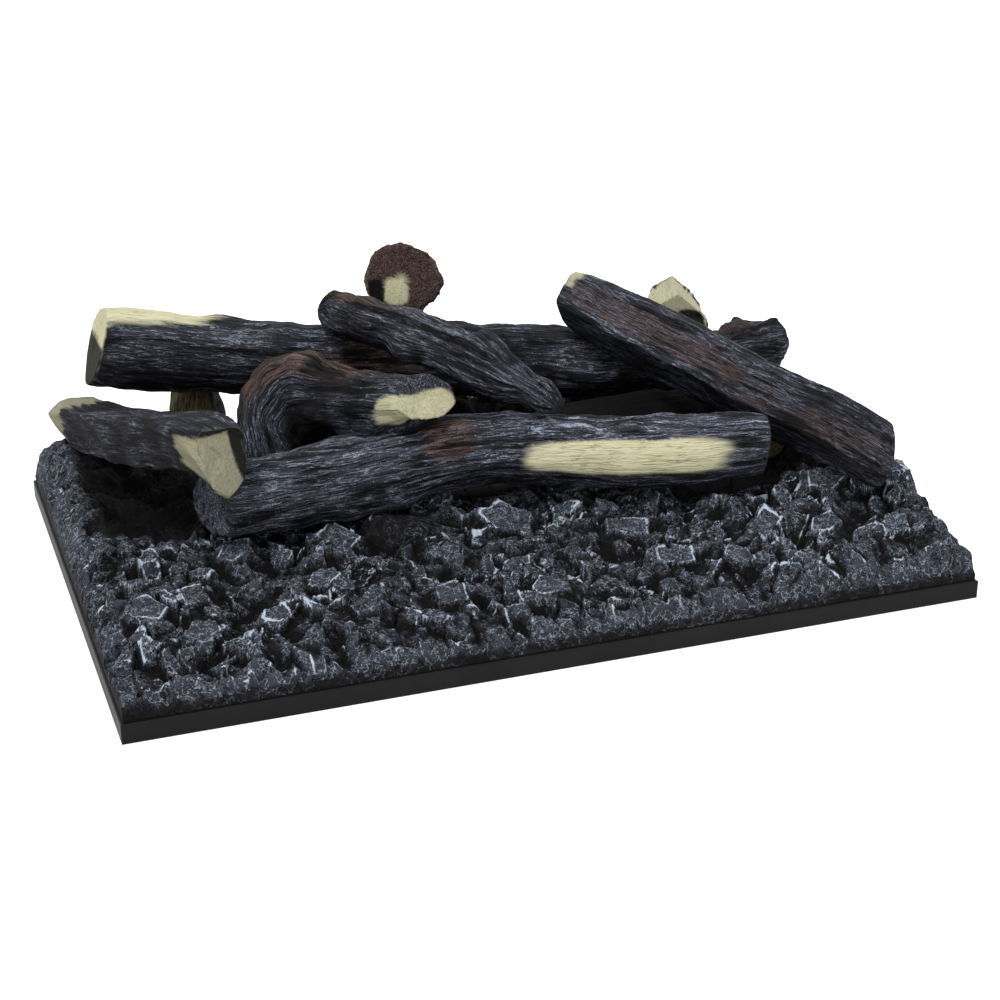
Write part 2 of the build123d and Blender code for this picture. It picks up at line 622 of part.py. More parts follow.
def ember_bed_mesh():
    """The casting: a rocky top on a grid, walls down its outline, and the outline of its flat underside."""
    bays = list(slot_edges().values())
    x_marks = [edge for bay in bays for edge in bay[:2]]
    y_marks = [edge for bay in bays for edge in bay[2:] if edge < BED_HALF_DEPTH]
    x_lines = grid_lines(-BED_HALF_WIDTH, BED_HALF_WIDTH, x_marks, BED_STEP)
    y_lines = grid_lines(-BED_HALF_DEPTH, BED_HALF_DEPTH, y_marks, BED_STEP)
    cell_lines = [(lines[1:] + lines[:-1]) / 2 for lines in (x_lines, y_lines)]
    cell_x, cell_y = np.meshgrid(*cell_lines, indexing="ij")
    solid_cells = np.ones(cell_x.shape, bool)
    for x_low, x_high, y_low, y_high in bays:
        solid_cells &= ~((cell_x > x_low) & (cell_x < x_high) & (cell_y > y_low) & (cell_y < y_high))

    padded = np.pad(solid_cells, 1)
    around = [padded[i : i + len(x_lines), j : j + len(y_lines)] for i in (0, 1) for j in (0, 1)]
    used, rim = np.any(around, axis=0), ~np.all(around, axis=0)
    x, y = np.meshgrid(x_lines, y_lines, indexing="ij")
    outer = (np.abs(x) >= BED_HALF_WIDTH) | (np.abs(y) >= BED_HALF_DEPTH)
    relief = rock_height(x, y) * np.where(outer, WALL_ROCK_SHARE, np.where(rim, RIM_ROCK_SHARE, 1))
    height = bed_height(x, y) + relief
    chunk_height = np.max([chunk.height(x, y) for chunk in CHUNKS], axis=0)
    height = np.where(rim, height, np.maximum(height, chunk_height))
    top = snapped(x, y, height, rim) + [0, 0, PLATE_TOP]
    foot = np.stack([x, y, np.full(x.shape, PLATE_TOP)], axis=-1)

    count = x.size
    number = np.arange(count).reshape(x.shape)
    triangles, walls = [], {}
    for i, j in zip(*np.nonzero(solid_cells)):
        a, b, c, d = number[i, j], number[i + 1, j], number[i + 1, j + 1], number[i, j + 1]
        if (i + j) % 2:
            triangles += [(a, b, c), (a, c, d)]
        else:
            triangles += [(a, b, d), (b, c, d)]
        sides = (((a, b), (0, -1)), ((b, c), (1, 0)), ((c, d), (0, 1)), ((d, a), (-1, 0)))
        for (start, end), (di, dj) in sides:
            if not padded[i + 1 + di, j + 1 + dj]:
                walls[start] = end
                triangles += [(start, start + count, end + count), (start, end + count, end)]
    loop = [next(iter(walls))]
    while walls[loop[-1]] != loop[0]:
        loop.append(walls[loop[-1]])
    points = np.vstack([top.reshape(-1, 3), foot.reshape(-1, 3)])
    return Mesh(points, np.array(triangles)), [corner + count for corner in reversed(loop)]


def base_plate():
    """Sheet folded down on four sides, with an open seam at each corner."""
    tray = block((-HALF_WIDTH, -HALF_DEPTH, 0), (HALF_WIDTH, HALF_DEPTH, SKIRT_HEIGHT))
    tray = fillet(tray.edges().group_by(Axis.Z)[-1], TRAY_BEND)
    inner_x, inner_y, under = HALF_WIDTH - SHEET, HALF_DEPTH - SHEET, SKIRT_HEIGHT - SHEET
    tray -= block((-inner_x, -inner_y, -CUT_OVERRUN), (inner_x, inner_y, under))
    seam_y = inner_y - CORNER_SEAM / 2
    for side in (-1, 1):
        for end in (-1, 1):
            low = (side * HALF_WIDTH - SHEET, end * seam_y - CORNER_SEAM / 2, -CUT_OVERRUN)
            high = (side * HALF_WIDTH + SHEET, end * seam_y + CORNER_SEAM / 2, under)
            tray -= block(low, high)
    for x, y in screw_places():
        tray -= Pos(x, y, SKIRT_HEIGHT) * Cylinder(SCREW_RADIUS + FIT_CLEARANCE, 2 * (SHEET + CUT_OVERRUN))
    return tray


def tube(start, end, outer_radius, inner_radius):
    """Round tube, with its bore cut right through."""
    return rod(start, end, outer_radius) - rod(start, end, inner_radius)


def bracket_places():
    """Where the burner brackets stand: both ends of each tube, with the side that they are on."""
    reach = BURNER_LENGTH / 2 - BRACKET_INSET
    return [(side, side * reach, y) for y in (FRONT_BURNER_Y, REAR_BURNER_Y) for side in (-1, 1)]


def inlet_face_y():
    """The front face of the inlet block, which its bracket's sheet lies against."""
    return HALF_DEPTH - INLET_REAR_GAP - INLET_DEPTH


def pilot_row_y():
    """The line that the pilot, the flame probe and the electrode stand on."""
    return REAR_BURNER_Y + SLOT_WIDTH / 2 + PILOT_FROM_SLOT


def screw_places():
    """Plan places of the screws that hold the brackets to the plate."""
    places = []
    for side, x, y in bracket_places():
        foot_x = x + side * (SHEET + BRACKET_FOOT) / 2
        places += [(foot_x, y + end * (BRACKET_WIDTH / 2 - SCREW_INSET)) for end in (-1, 1)]
    inlet_y = inlet_face_y() - SHEET - INLET_BRACKET_FOOT / 2
    places += [(end * (INLET_BRACKET_WIDTH / 2 - INLET_SCREW_INSET), inlet_y) for end in (-1, 1)]
    pilot_y = pilot_row_y() + PILOT_SHELF_DEPTH / 2 + PILOT_BRACKET_FOOT / 2
    places += [(PILOT_X + end * (PILOT_BRACKET_WIDTH / 2 - PILOT_SCREW_INSET), pilot_y) for end in (-1, 1)]
    return places


def screw_holes():
    """Clearance holes for every screw, through the feet and the plate."""
    low, high = SKIRT_HEIGHT - SHEET - CUT_OVERRUN, SKIRT_HEIGHT + SHEET + CUT_OVERRUN
    radius = SCREW_RADIUS + FIT_CLEARANCE
    return [rod((x, y, low), (x, y, high), radius) for x, y in screw_places()]


def bracket_screws():
    """Pan-head screws standing on the feet."""
    seat = PLATE_TOP + SHEET
    screws = []
    for x, y in screw_places():
        shank = rod((x, y, seat - SCREW_LENGTH), (x, y, seat), SCREW_RADIUS)
        head = rod((x, y, seat), (x, y, seat + SCREW_HEAD_HEIGHT), SCREW_HEAD_RADIUS)
        screws.append(shank + head)
    return screws


def burner_tube(y, joins):
    """Burner tube with a row of gas slots along its top, and side holes where other tubes join it."""
    half, radius = BURNER_LENGTH / 2, BURNER_OD / 2
    body = tube((-half, y, BURNER_Z), (half, y, BURNER_Z), radius, radius - TUBE_WALL)
    count = int((BURNER_LENGTH - 2 * PORT_MARGIN) / PORT_PITCH) + 1
    port = Box(PORT_WIDTH, PORT_LENGTH, radius)
    body -= [Pos(0, y, BURNER_Z + radius) * place * port for place in GridLocations(PORT_PITCH, 0, count, 1)]
    for side, outer_radius in joins:
        body -= rod((0, y, BURNER_Z), (0, y + side * BURNER_OD, BURNER_Z), outer_radius - TUBE_WALL)
    return body


def burner_end_caps():
    """Plugs that close the ends of the burner tubes."""
    caps = []
    for y in (FRONT_BURNER_Y, REAR_BURNER_Y):
        for side in (-1, 1):
            end = side * BURNER_LENGTH / 2
            disc = rod((end, y, BURNER_Z), (end + side * CAP_THICKNESS, y, BURNER_Z), BURNER_OD / 2)
            spigot_radius = BURNER_OD / 2 - TUBE_WALL - FIT_CLEARANCE
            spigot = rod((end, y, BURNER_Z), (end - side * CAP_SPIGOT, y, BURNER_Z), spigot_radius)
            caps.append(disc + spigot)
    return caps


def burner_envelope(y):
    """The space of a burner tube with its weld gap, cut from the tubes that join it."""
    half = BURNER_LENGTH / 2
    return rod((-half, y, BURNER_Z), (half, y, BURNER_Z), BURNER_OD / 2 + WELD_GAP)


def crossover_tube():
    """Short tube that feeds the front burner from the rear one, its ends coped to both."""
    start, end, radius = (0, FRONT_BURNER_Y, BURNER_Z), (0, REAR_BURNER_Y, BURNER_Z), CROSSOVER_OD / 2
    body = tube(start, end, radius, radius - TUBE_WALL)
    return body - burner_envelope(FRONT_BURNER_Y) - burner_envelope(REAR_BURNER_Y)


def mixer_end_y():
    """The mixing tube ends a gap in front of the orifice's hexagon."""
    return inlet_face_y() - SHEET - SPUD_HEX_LENGTH - MIXER_END_GAP


def window_y():
    """Middle of the air windows, and of the shutter over them."""
    return mixer_end_y() - SHUTTER_END_GAP - SHUTTER_LENGTH / 2


def air_windows(outer_radius):
    """One cut through both sides of a sleeve, for the two air windows."""
    return Pos(0, window_y(), BURNER_Z) * Box(2 * (outer_radius + CUT_OVERRUN), WINDOW_LENGTH, WINDOW_WIDTH)


def mixer_tube():
    """Mixing tube behind the rear burner, with an air window in each side."""
    start, end, radius = (0, REAR_BURNER_Y, BURNER_Z), (0, mixer_end_y(), BURNER_Z), MIXER_OD / 2
    body = tube(start, end, radius, radius - TUBE_WALL)
    return body - burner_envelope(REAR_BURNER_Y) - air_windows(radius)


def mixer_end_cap():
    """Plug that closes the mixing tube behind and centres the orifice in it."""
    end = mixer_end_y()
    disc = rod((0, end, BURNER_Z), (0, end + CAP_THICKNESS, BURNER_Z), MIXER_OD / 2)
    spigot_radius = MIXER_OD / 2 - TUBE_WALL - FIT_CLEARANCE
    spigot = rod((0, end - CAP_SPIGOT / 2, BURNER_Z), (0, end, BURNER_Z), spigot_radius)
    hole_start, hole_end = (0, end - CAP_SPIGOT, BURNER_Z), (0, end + CAP_SPIGOT, BURNER_Z)
    return disc + spigot - rod(hole_start, hole_end, SPUD_NOSE_RADIUS + FIT_CLEARANCE)


def air_shutter():
    """Sleeve that turns on the mixing tube and covers its air windows, with a finger tab on top."""
    inner_radius = MIXER_OD / 2 + SHUTTER_CLEARANCE
    outer_radius = inner_radius + SHUTTER_WALL
    start, end = window_y() - SHUTTER_LENGTH / 2, window_y() + SHUTTER_LENGTH / 2
    sleeve = rod((0, start, BURNER_Z), (0, end, BURNER_Z), outer_radius)
    root = BURNER_Z + inner_radius
    tab_low = (-SHUTTER_WALL / 2, start, root)
    tab_high = (SHUTTER_WALL / 2, start + SHUTTER_LENGTH / 2, root + SHUTTER_WALL + SHUTTER_TAB)
    sleeve += block(tab_low, tab_high)
    sleeve -= rod((0, start, BURNER_Z), (0, end, BURNER_Z), inner_radius)
    return sleeve - air_windows(outer_radius)


def orifice_spud():
    """Brass orifice: thread, hexagon and nose, drilled from the thread to a fine hole at the tip."""
    seat = inlet_face_y() - SHEET
    hexagon_plane = Plane((0, seat - SPUD_HEX_LENGTH, BURNER_Z), z_dir=(0, 1, 0))
    body = extrude(hexagon_plane * RegularPolygon(SPUD_HEX_RADIUS, 6), SPUD_HEX_LENGTH)
    tip = seat - SPUD_HEX_LENGTH - SPUD_NOSE_LENGTH
    thread_end = inlet_face_y() + SPUD_THREAD_LENGTH
    body += rod((0, tip, BURNER_Z), (0, seat - SPUD_HEX_LENGTH, BURNER_Z), SPUD_NOSE_RADIUS)
    body += rod((0, seat, BURNER_Z), (0, thread_end, BURNER_Z), SPUD_THREAD_RADIUS)
    body -= rod((0, tip + SPUD_TIP, BURNER_Z), (0, thread_end, BURNER_Z), SPUD_BORE_RADIUS)
    return body - rod((0, tip, BURNER_Z), (0, tip + SPUD_TIP, BURNER_Z), SPUD_HOLE_RADIUS)


def inlet_block():
    """Gas inlet: a block with a tapped hole to the rear, and the orifice's hole in front."""
    half, front = INLET_BLOCK / 2, inlet_face_y()
    rear = front + INLET_DEPTH
    body = block((-half, front, BURNER_Z - half), (half, rear, BURNER_Z + half))
    body -= rod((0, rear - INLET_BORE_LENGTH, BURNER_Z), (0, rear, BURNER_Z), INLET_BORE_RADIUS)
    return body - rod((0, front, BURNER_Z), (0, rear, BURNER_Z), SPUD_THREAD_RADIUS + FIT_CLEARANCE)


def inlet_bracket():
    """Angle that the inlet block is clamped to by the orifice's hexagon."""
    half, front = INLET_BRACKET_WIDTH / 2, inlet_face_y()
    wall = block((-half, front - SHEET, PLATE_TOP), (half, front, BURNER_Z + INLET_BLOCK / 2))
    foot = block((-half, front - SHEET - INLET_BRACKET_FOOT, PLATE_TOP), (half, front, PLATE_TOP + SHEET))
    hole = rod((0, front - SHEET, BURNER_Z), (0, front, BURNER_Z), SPUD_THREAD_RADIUS + FIT_CLEARANCE)
    return wall + foot - hole - screw_holes()


def burner_brackets():
    """Angles that the ends of the burner tubes lie in."""
    brackets = []
    top = BURNER_Z + BURNER_OD / 2 + BRACKET_RIM
    for side, x, y in bracket_places():
        low_y, high_y = y - BRACKET_WIDTH / 2, y + BRACKET_WIDTH / 2
        near_x, wall_x = x - side * SHEET / 2, x + side * SHEET / 2
        foot_x = wall_x + side * BRACKET_FOOT
        wall_low, wall_high = sorted((near_x, wall_x))
        foot_low, foot_high = sorted((near_x, foot_x))
        wall = block((wall_low, low_y, PLATE_TOP), (wall_high, high_y, top))
        foot = block((foot_low, low_y, PLATE_TOP), (foot_high, high_y, PLATE_TOP + SHEET))
        hole = rod((near_x, y, BURNER_Z), (wall_x, y, BURNER_Z), BURNER_OD / 2 + FIT_CLEARANCE)
        brackets.append(wall + foot - hole - screw_holes())
    return brackets


def pilot_bracket():
    """Step bracket: a foot on the plate, a wall, and a shelf with three holes in a row."""
    half = PILOT_BRACKET_WIDTH / 2
    low_x, high_x = PILOT_X - half, PILOT_X + half
    row, reach, shelf_top = pilot_row_y(), PILOT_SHELF_DEPTH / 2, PLATE_TOP + PILOT_SHELF_HEIGHT
    back = row + reach
    body = block((low_x, row - reach, shelf_top - SHEET), (high_x, back, shelf_top))
    body += block((low_x, back - SHEET, PLATE_TOP), (high_x, back, shelf_top))
    body += block((low_x, back - SHEET, PLATE_TOP), (high_x, back + PILOT_BRACKET_FOOT, PLATE_TOP + SHEET))
    radii = (PROBE_RADIUS, PILOT_STEM_RADIUS, ELECTRODE_RADIUS)
    for number, radius in zip((-1, 0, 1), radii):
        x = PILOT_X + number * PILOT_PITCH
        body -= rod((x, row, shelf_top - 2 * SHEET), (x, row, shelf_top + SHEET), radius + FIT_CLEARANCE)
    return body - screw_holes()


def pilot_burner():
    """Pilot: a stem through the shelf and a hood with a flame slot towards the rear burner."""
    x, y, shelf = PILOT_X, pilot_row_y(), PLATE_TOP + PILOT_SHELF_HEIGHT
    body = rod((x, y, shelf - PILOT_STEM_LENGTH), (x, y, shelf), PILOT_STEM_RADIUS)
    body += rod((x, y, shelf), (x, y, shelf + PILOT_HOOD_HEIGHT), PILOT_HOOD_RADIUS)
    slot_low = (x - PILOT_HOOD_SLOT / 2, y - PILOT_HOOD_RADIUS, shelf + PILOT_HOOD_HEIGHT / 2)
    slot_high = (x + PILOT_HOOD_SLOT / 2, y, shelf + PILOT_HOOD_HEIGHT - TUBE_WALL)
    return body - block(slot_low, slot_high)


def thermocouple():
    """Flame probe: a nut over the shelf, a sheath and a thinner hot tip."""
    x, y, shelf = PILOT_X - PILOT_PITCH, pilot_row_y(), PLATE_TOP + PILOT_SHELF_HEIGHT
    sheath_top = shelf + PROBE_RISE
    body = rod((x, y, shelf - PROBE_NUT_LENGTH), (x, y, sheath_top), PROBE_RADIUS)
    body += rod((x, y, shelf), (x, y, shelf + PROBE_NUT_LENGTH), PROBE_NUT_RADIUS)
    return body + rod((x, y, sheath_top), (x, y, sheath_top + PROBE_TIP_LENGTH), PROBE_TIP_RADIUS)


def spark_electrode():
    """Igniter: a ceramic body with a collar on the shelf, and its wire."""
    x, y, shelf = PILOT_X + PILOT_PITCH, pilot_row_y(), PLATE_TOP + PILOT_SHELF_HEIGHT
    top = shelf + ELECTRODE_RISE
    body = rod((x, y, shelf - ELECTRODE_DROP), (x, y, top), ELECTRODE_RADIUS)
    body += rod((x, y, shelf), (x, y, shelf + ELECTRODE_COLLAR_LENGTH), ELECTRODE_COLLAR_RADIUS)
    return body + rod((x, y, top), (x, y, top + ELECTRODE_WIRE_LENGTH), ELECTRODE_WIRE_RADIUS)


def pilot_tube():
    """Small gas tube from the inlet block to the pilot, along the rear slot."""
    level = PLATE_TOP + PILOT_TUBE_HEIGHT
    run_y = REAR_BURNER_Y + BURNER_OD / 2 + (SLOT_WIDTH - BURNER_OD) / 4
    block_y = inlet_face_y() + INLET_DEPTH / 2
    side_x = -INLET_BRACKET_WIDTH / 2 - PILOT_TUBE_CLEARANCE - PILOT_TUBE_RADIUS
    route = [
        (PILOT_X, pilot_row_y(), PLATE_TOP + PILOT_SHELF_HEIGHT - PILOT_STEM_LENGTH),
        (PILOT_X, pilot_row_y(), level),
        (PILOT_X, run_y, level),
        (side_x, run_y, level),
        (side_x, block_y, level),
        (-INLET_BLOCK / 2, block_y, level),
    ]
    path = FilletPolyline(*route, radius=PILOT_TUBE_BEND)
    return sweep(Plane(path ^ 0) * Circle(PILOT_TUBE_RADIUS), path=path)


# Logs, in the order that they are stacked
LOGS = {
    "low_centre_log": Log(
        LOW_CENTRE_LOG_LENGTH, LOW_CENTRE_LOG_THICKNESS, (0.219, LOW_CENTRE_LOG_Y / TRAY_DEPTH), -2,
        ((0, 0, 0), (0.5, 0.02, 0.01), (1, 0, 0)), ((0.95, 0.95), (1, 1), (0.95, 0.95)), seed=2,
    ),
    "back_left_log": Log(
        BACK_LEFT_LOG_LENGTH, BACK_LEFT_LOG_THICKNESS, (-0.289, 0.382), 75,
        ((0, 0, 0), (1, 0, 0)), ((1, 1), (1.05, 1), (0.9, 0.9)), rings=8, seed=3,
    ),
    "low_right_log": Log(
        LOW_RIGHT_LOG_LENGTH, LOW_RIGHT_LOG_THICKNESS, (0.416, 0.141), 79.5,
        ((0, 0, 0), (0.5, 0.03, 0.02), (1, 0, 0)), ((1, 1), (1.05, 1), (0.9, 0.9)), seed=4,
    ),
    "front_log": Log(
        FRONT_LOG_LENGTH, FRONT_LOG_THICKNESS, (-0.009, -0.147), -7.7,
        ((0, 0, 0), (0.25, 0.055, -0.005), (0.5, 0.1, 0.006), (0.75, 0.05, -0.01), (1, 0, 0)),
        ((1.0, 1.0), (1.02, 1.04), (0.95, 1.02), (0.95, 1.0), (1.0, 1.02), (0.88, 0.86)),
        rings=18, knot_shares=((0.46, 70, 0.16, 0.5),),
        start_slope_shares=(-0.35, 0.3), end_slope_shares=(0.0, 0.15), seed=5,
    ),
    "left_split_log": Log(
        LEFT_SPLIT_LOG_LENGTH, LEFT_SPLIT_LOG_THICKNESS, (-0.385, 0.112), -75.5,
        ((0, 0, 0), (0.5, 0.0, -0.01), (0.85, 0.0, 0.015), (1, 0, -0.05)),
        ((1.1, 0.95), (1.2, 1.3), (1.15, 1.15), (0.95, 0.85), (0.75, 0.55)),
        split_shares=((85, 0.85), (200, 0.8), (270, 0.75)),
        start_slope_shares=(0.4, -0.7), end_slope_shares=(-0.3, -0.9), seed=6,
    ),
    "rear_log": Log(
        REAR_LOG_LENGTH, REAR_LOG_THICKNESS, (-0.019, 0.339), -3.4,
        ((0, 0, 0), (0.33, -0.01, -0.012), (0.67, 0.02, -0.005), (1, 0, 0)),
        ((1.05, 1.15), (1.0, 0.95), (1, 0.95), (0.95, 0.95), (1, 1), (0.85, 0.85)),
        rings=18, split_shares=((75, 0.95),), knot_shares=((0.52, 90, 0.26, 0.6), (0.83, 175, 0.6, 0.35)),
        start_slope_shares=(0.15, 0.1), seed=7,
    ),
    "crooked_log": Log(
        CROOKED_LOG_LENGTH, CROOKED_LOG_THICKNESS, (-0.164, 0.036), -43,
        ((0.02, 0.02, -0.05), (0.1, 0.14, 0.14), (0.26, 0.2, 0.26), (0.6, 0.1, 0.24), (1, 0, 0.22)),
        ((1.1, 0.9), (1.1, 1.15), (1.0, 1.42), (0.9, 0.8), (1, 0.62)),
        rings=14, knot_shares=((0.42, 90, 0.3, 0.3),), end_slope_shares=(0.2, -0.5), seed=8,
    ),
    "branch_log": Log(
        BRANCH_LOG_LENGTH, BRANCH_LOG_THICKNESS, (-0.018, 0.1), -59.5,
        ((0, 0, 0), (0.35, -0.03, 0.045), (0.65, 0.02, 0.03), (1, 0, 0)),
        ((0.9, 0.85), (1.1, 1.25), (1.2, 1.2), (1.1, 1.1), (0.75, 0.65)), rings=14, seed=9,
    ),
    "round_end_log": Log(
        ROUND_END_LOG_LENGTH, ROUND_END_LOG_THICKNESS, (-0.003, 0.381), 72,
        ((0, 0, 0), (1, 0, 0)), ((1.05, 1), (1, 1), (0.95, 0.95)), rings=8, fixed_pitch=-16, seed=10,
    ),
    "crossing_log": Log(
        CROSSING_LOG_LENGTH, CROSSING_LOG_THICKNESS, (0.331, -0.004), -64.5,
        ((0, 0, 0), (0.5, 0.0, -0.005), (1, 0, 0)),
        ((0.9, 0.9), (1.05, 1.0), (1.1, 1.1), (1.05, 1.05), (1.0, 1.0), (0.95, 0.95)),
        rings=14, split_shares=((215, 0.75), (110, 0.85)),
        start_slope_shares=(-0.2, -0.2), end_slope_shares=(-0.9, 0.1), seed=11,
    ),
    "rear_right_log": Log(
        REAR_RIGHT_LOG_LENGTH, REAR_RIGHT_LOG_THICKNESS, (0.385, 0.337), 68,
        ((0, 0, 0), (1, 0, 0)), ((1.3, 0.95), (1.1, 0.95), (0.9, 0.9)),
        rings=8, split_shares=((130, 0.66), (50, 0.75)), fixed_pitch=-5, seed=12,
    ),
    "small_rear_log": Log(
        SMALL_REAR_LOG_LENGTH, SMALL_REAR_LOG_THICKNESS, (0.421, 0.14), 20,
        ((0, 0, 0), (0.5, 0.03, 0.02), (1, 0, 0)), ((0.8, 0.8), (1, 1), (1.1, 1.05)), rings=8, seed=13,
    ),
}


def stack_logs(bed):
    """Every log as a mesh, each lowered on the bed and on the logs placed before it."""
    placed = {}
    for name, log in LOGS.items():
        placed[name] = log.settled([bed, *placed.values()])
    return placed


def build():
    bed, underside = ember_bed_mesh()
    parts = {
        "base_plate": base_plate(),
        "ember_bed": bed.solid(underside),
        "front_burner_tube": burner_tube(FRONT_BURNER_Y, [(1, CROSSOVER_OD / 2)]),
        "rear_burner_tube": burner_tube(REAR_BURNER_Y, [(-1, CROSSOVER_OD / 2), (1, MIXER_OD / 2)]),
        "crossover_tube": crossover_tube(),
        "burner_end_caps": burner_end_caps(),
        "burner_brackets": burner_brackets(),
        "bracket_screws": bracket_screws(),
        "mixer_tube": mixer_tube(),
        "mixer_end_cap": mixer_end_cap(),
        "air_shutter": air_shutter(),
        "orifice_spud": orifice_spud(),
        "inlet_block": inlet_block(),
        "inlet_bracket": inlet_bracket(),
        "pilot_bracket": pilot_bracket(),
        "pilot_burner": pilot_burner(),
        "thermocouple": thermocouple(),
        "spark_electrode": spark_electrode(),
        "pilot_tube": pilot_tube(),
    }
    for name, mesh in stack_logs(bed).items():
        parts[name] = mesh.solid()
    return parts


os.makedirs("parts", exist_ok=True)
for node, shape in build().items():
    if isinstance(shape, list):
        shape = Compound([solid for piece in shape for solid in piece.solids()])
    export_step(shape, f"parts/{node}.step")
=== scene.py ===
"""Visual model of a gas log set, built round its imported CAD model."""

from __future__ import annotations

import json
import logging
import math
import operator
from dataclasses import dataclass, field
from enum import Enum
from functools import reduce
from itertools import product

import bmesh
import bpy
import numpy as np
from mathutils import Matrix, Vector

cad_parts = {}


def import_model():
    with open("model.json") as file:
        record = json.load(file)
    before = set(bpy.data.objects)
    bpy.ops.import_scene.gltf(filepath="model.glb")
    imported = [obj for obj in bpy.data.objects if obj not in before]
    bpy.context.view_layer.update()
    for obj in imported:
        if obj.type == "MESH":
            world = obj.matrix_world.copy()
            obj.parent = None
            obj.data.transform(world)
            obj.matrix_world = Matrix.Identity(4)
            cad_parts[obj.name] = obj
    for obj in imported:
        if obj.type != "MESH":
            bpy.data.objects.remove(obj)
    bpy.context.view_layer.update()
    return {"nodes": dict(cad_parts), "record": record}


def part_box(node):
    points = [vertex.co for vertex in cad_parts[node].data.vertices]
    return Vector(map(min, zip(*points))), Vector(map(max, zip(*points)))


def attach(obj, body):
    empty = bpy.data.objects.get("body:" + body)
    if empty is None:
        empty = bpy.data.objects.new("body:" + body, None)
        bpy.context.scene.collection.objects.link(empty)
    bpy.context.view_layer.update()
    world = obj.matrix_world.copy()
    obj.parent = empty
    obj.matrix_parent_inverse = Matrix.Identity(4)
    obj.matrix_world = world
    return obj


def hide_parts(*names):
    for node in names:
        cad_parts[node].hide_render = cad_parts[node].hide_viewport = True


LOG = logging.getLogger("gas_log_set")
MM = 0.001
SCREEN_POWER = 2.2
HASH_PRIMES = (73856093, 19349663, 83492791)
HASH_SEED = 2654435761
HASH_STIRS = ((15, 2246822519), (13, 3266489917))
WORD, HALF_WORD = 0xFFFFFFFF, 0xFFFF
# Added to a piece's own seed, one for each of its noises.
FINE_SEED, WARP_SEED, LUMP_SEED, FRAY_SEED = 5, 8, 9, 20
WORN_SEED, GRIT_SEED, FLUTE_SEED, RUBBED_SEED = 30, 30, 50, 60
TINY = 1e-9
Pair = tuple[float, float]
Triple = tuple[float, float, float]
Colour = tuple[float, float, float]
Array = np.ndarray
Object = bpy.types.Object
Socket = bpy.types.NodeSocket


def srgb(red: int, green: int, blue: int) -> Colour:
    """Linear colour of three screen values from 0 to 255.

    Args:
        red: Red on the screen.
        green: Green on the screen.
        blue: Blue on the screen.

    Returns:
        The three linear values, by the power curve of a screen.
    """
    return tuple((value / 255) ** SCREEN_POWER for value in (red, green, blue))


def eased(low: float, high: float, value: Array) -> Array:
    """Smooth step: 0 below low, 1 above high, and 3t^2 - 2t^3 of the share t between them.

    Args:
        low: Where the step starts.
        high: Where it ends; less than low turns the step round.
        value: What is stepped.

    Returns:
        The step, from 0 to 1.
    """
    share = np.clip((value - low) / (high - low), 0, 1)
    return share * share * (3 - 2 * share)


def hashed(cells: Array, seed: int) -> Array:
    """Random number from -1 to 1 for each row of whole numbers.

    The row's numbers are multiplied by large primes and joined by exclusive or, and the bits are then
    stirred by two more products and shifts. The lowest 16 bits give the number.

    Args:
        cells: Whole numbers, the last axis being the row.
        seed: Which set of random numbers.

    Returns:
        One number for each row.
    """
    primes = np.array(HASH_PRIMES[: cells.shape[-1]], dtype=np.uint64)
    key = np.bitwise_xor.reduce(cells.astype(np.int64).astype(np.uint64) * primes, axis=-1)
    key ^= np.uint64(seed * HASH_SEED % 2**32)
    for shift, factor in HASH_STIRS:
        key = (key ^ (key >> np.uint64(shift))) * np.uint64(factor) & np.uint64(WORD)
    return (key & np.uint64(HALF_WORD)).astype(float) / (HALF_WORD / 2) - 1


def noise(points: Array, seed: int) -> Array:
    """Smooth noise from -1 to 1: random values at whole-number corners, blended by eased shares.

    Args:
        points: Places, three numbers each, in units of the noise's grain.
        seed: Which noise.

    Returns:
        One value for each place.
    """
    cell = np.floor(points).astype(np.int64)
    share = eased(0, 1, points - cell)
    total = np.zeros(len(points))
    for corner in product((0, 1), repeat=3):
        weight = np.prod(np.where(np.array(corner) == 1, share, 1 - share), axis=1)
        total += weight * hashed(cell + np.array(corner), seed)
    return total


def layered(points: Array, seed: int, layers: int = 3) -> Array:
    """Noise of several layers, each of half the grain and half the height of the one before."""
    return sum(noise(points * 2**layer, seed + layer) / 2**layer for layer in range(layers))


def blurred(heights: Array, reach: int) -> Array:
    """Mean over a square window, taken twice, by differences of running sums.

    Args:
        heights: A grid of values.
        reach: Half the window, in cells.

    Returns:
        The smoothed grid, of the same size.
    """
    for axis in (0, 1, 0, 1):
        pad = [(0, 0), (0, 0)]
        pad[axis] = (reach + 1, reach)
        sums = np.cumsum(np.pad(heights, pad, mode="edge"), axis=axis)
        upper = np.take(sums, range(2 * reach + 1, sums.shape[axis]), axis=axis)
        lower = np.take(sums, range(sums.shape[axis] - 2 * reach - 1), axis=axis)
        heights = (upper - lower) / (2 * reach + 1)
    return heights


class Tone(Enum):
    """What a place on a casting shows: the name of the mask that its finish reads."""

    PALE = "pale"
    BROWN = "brown"
    OLIVE = "olive"
    CHAR = "char"


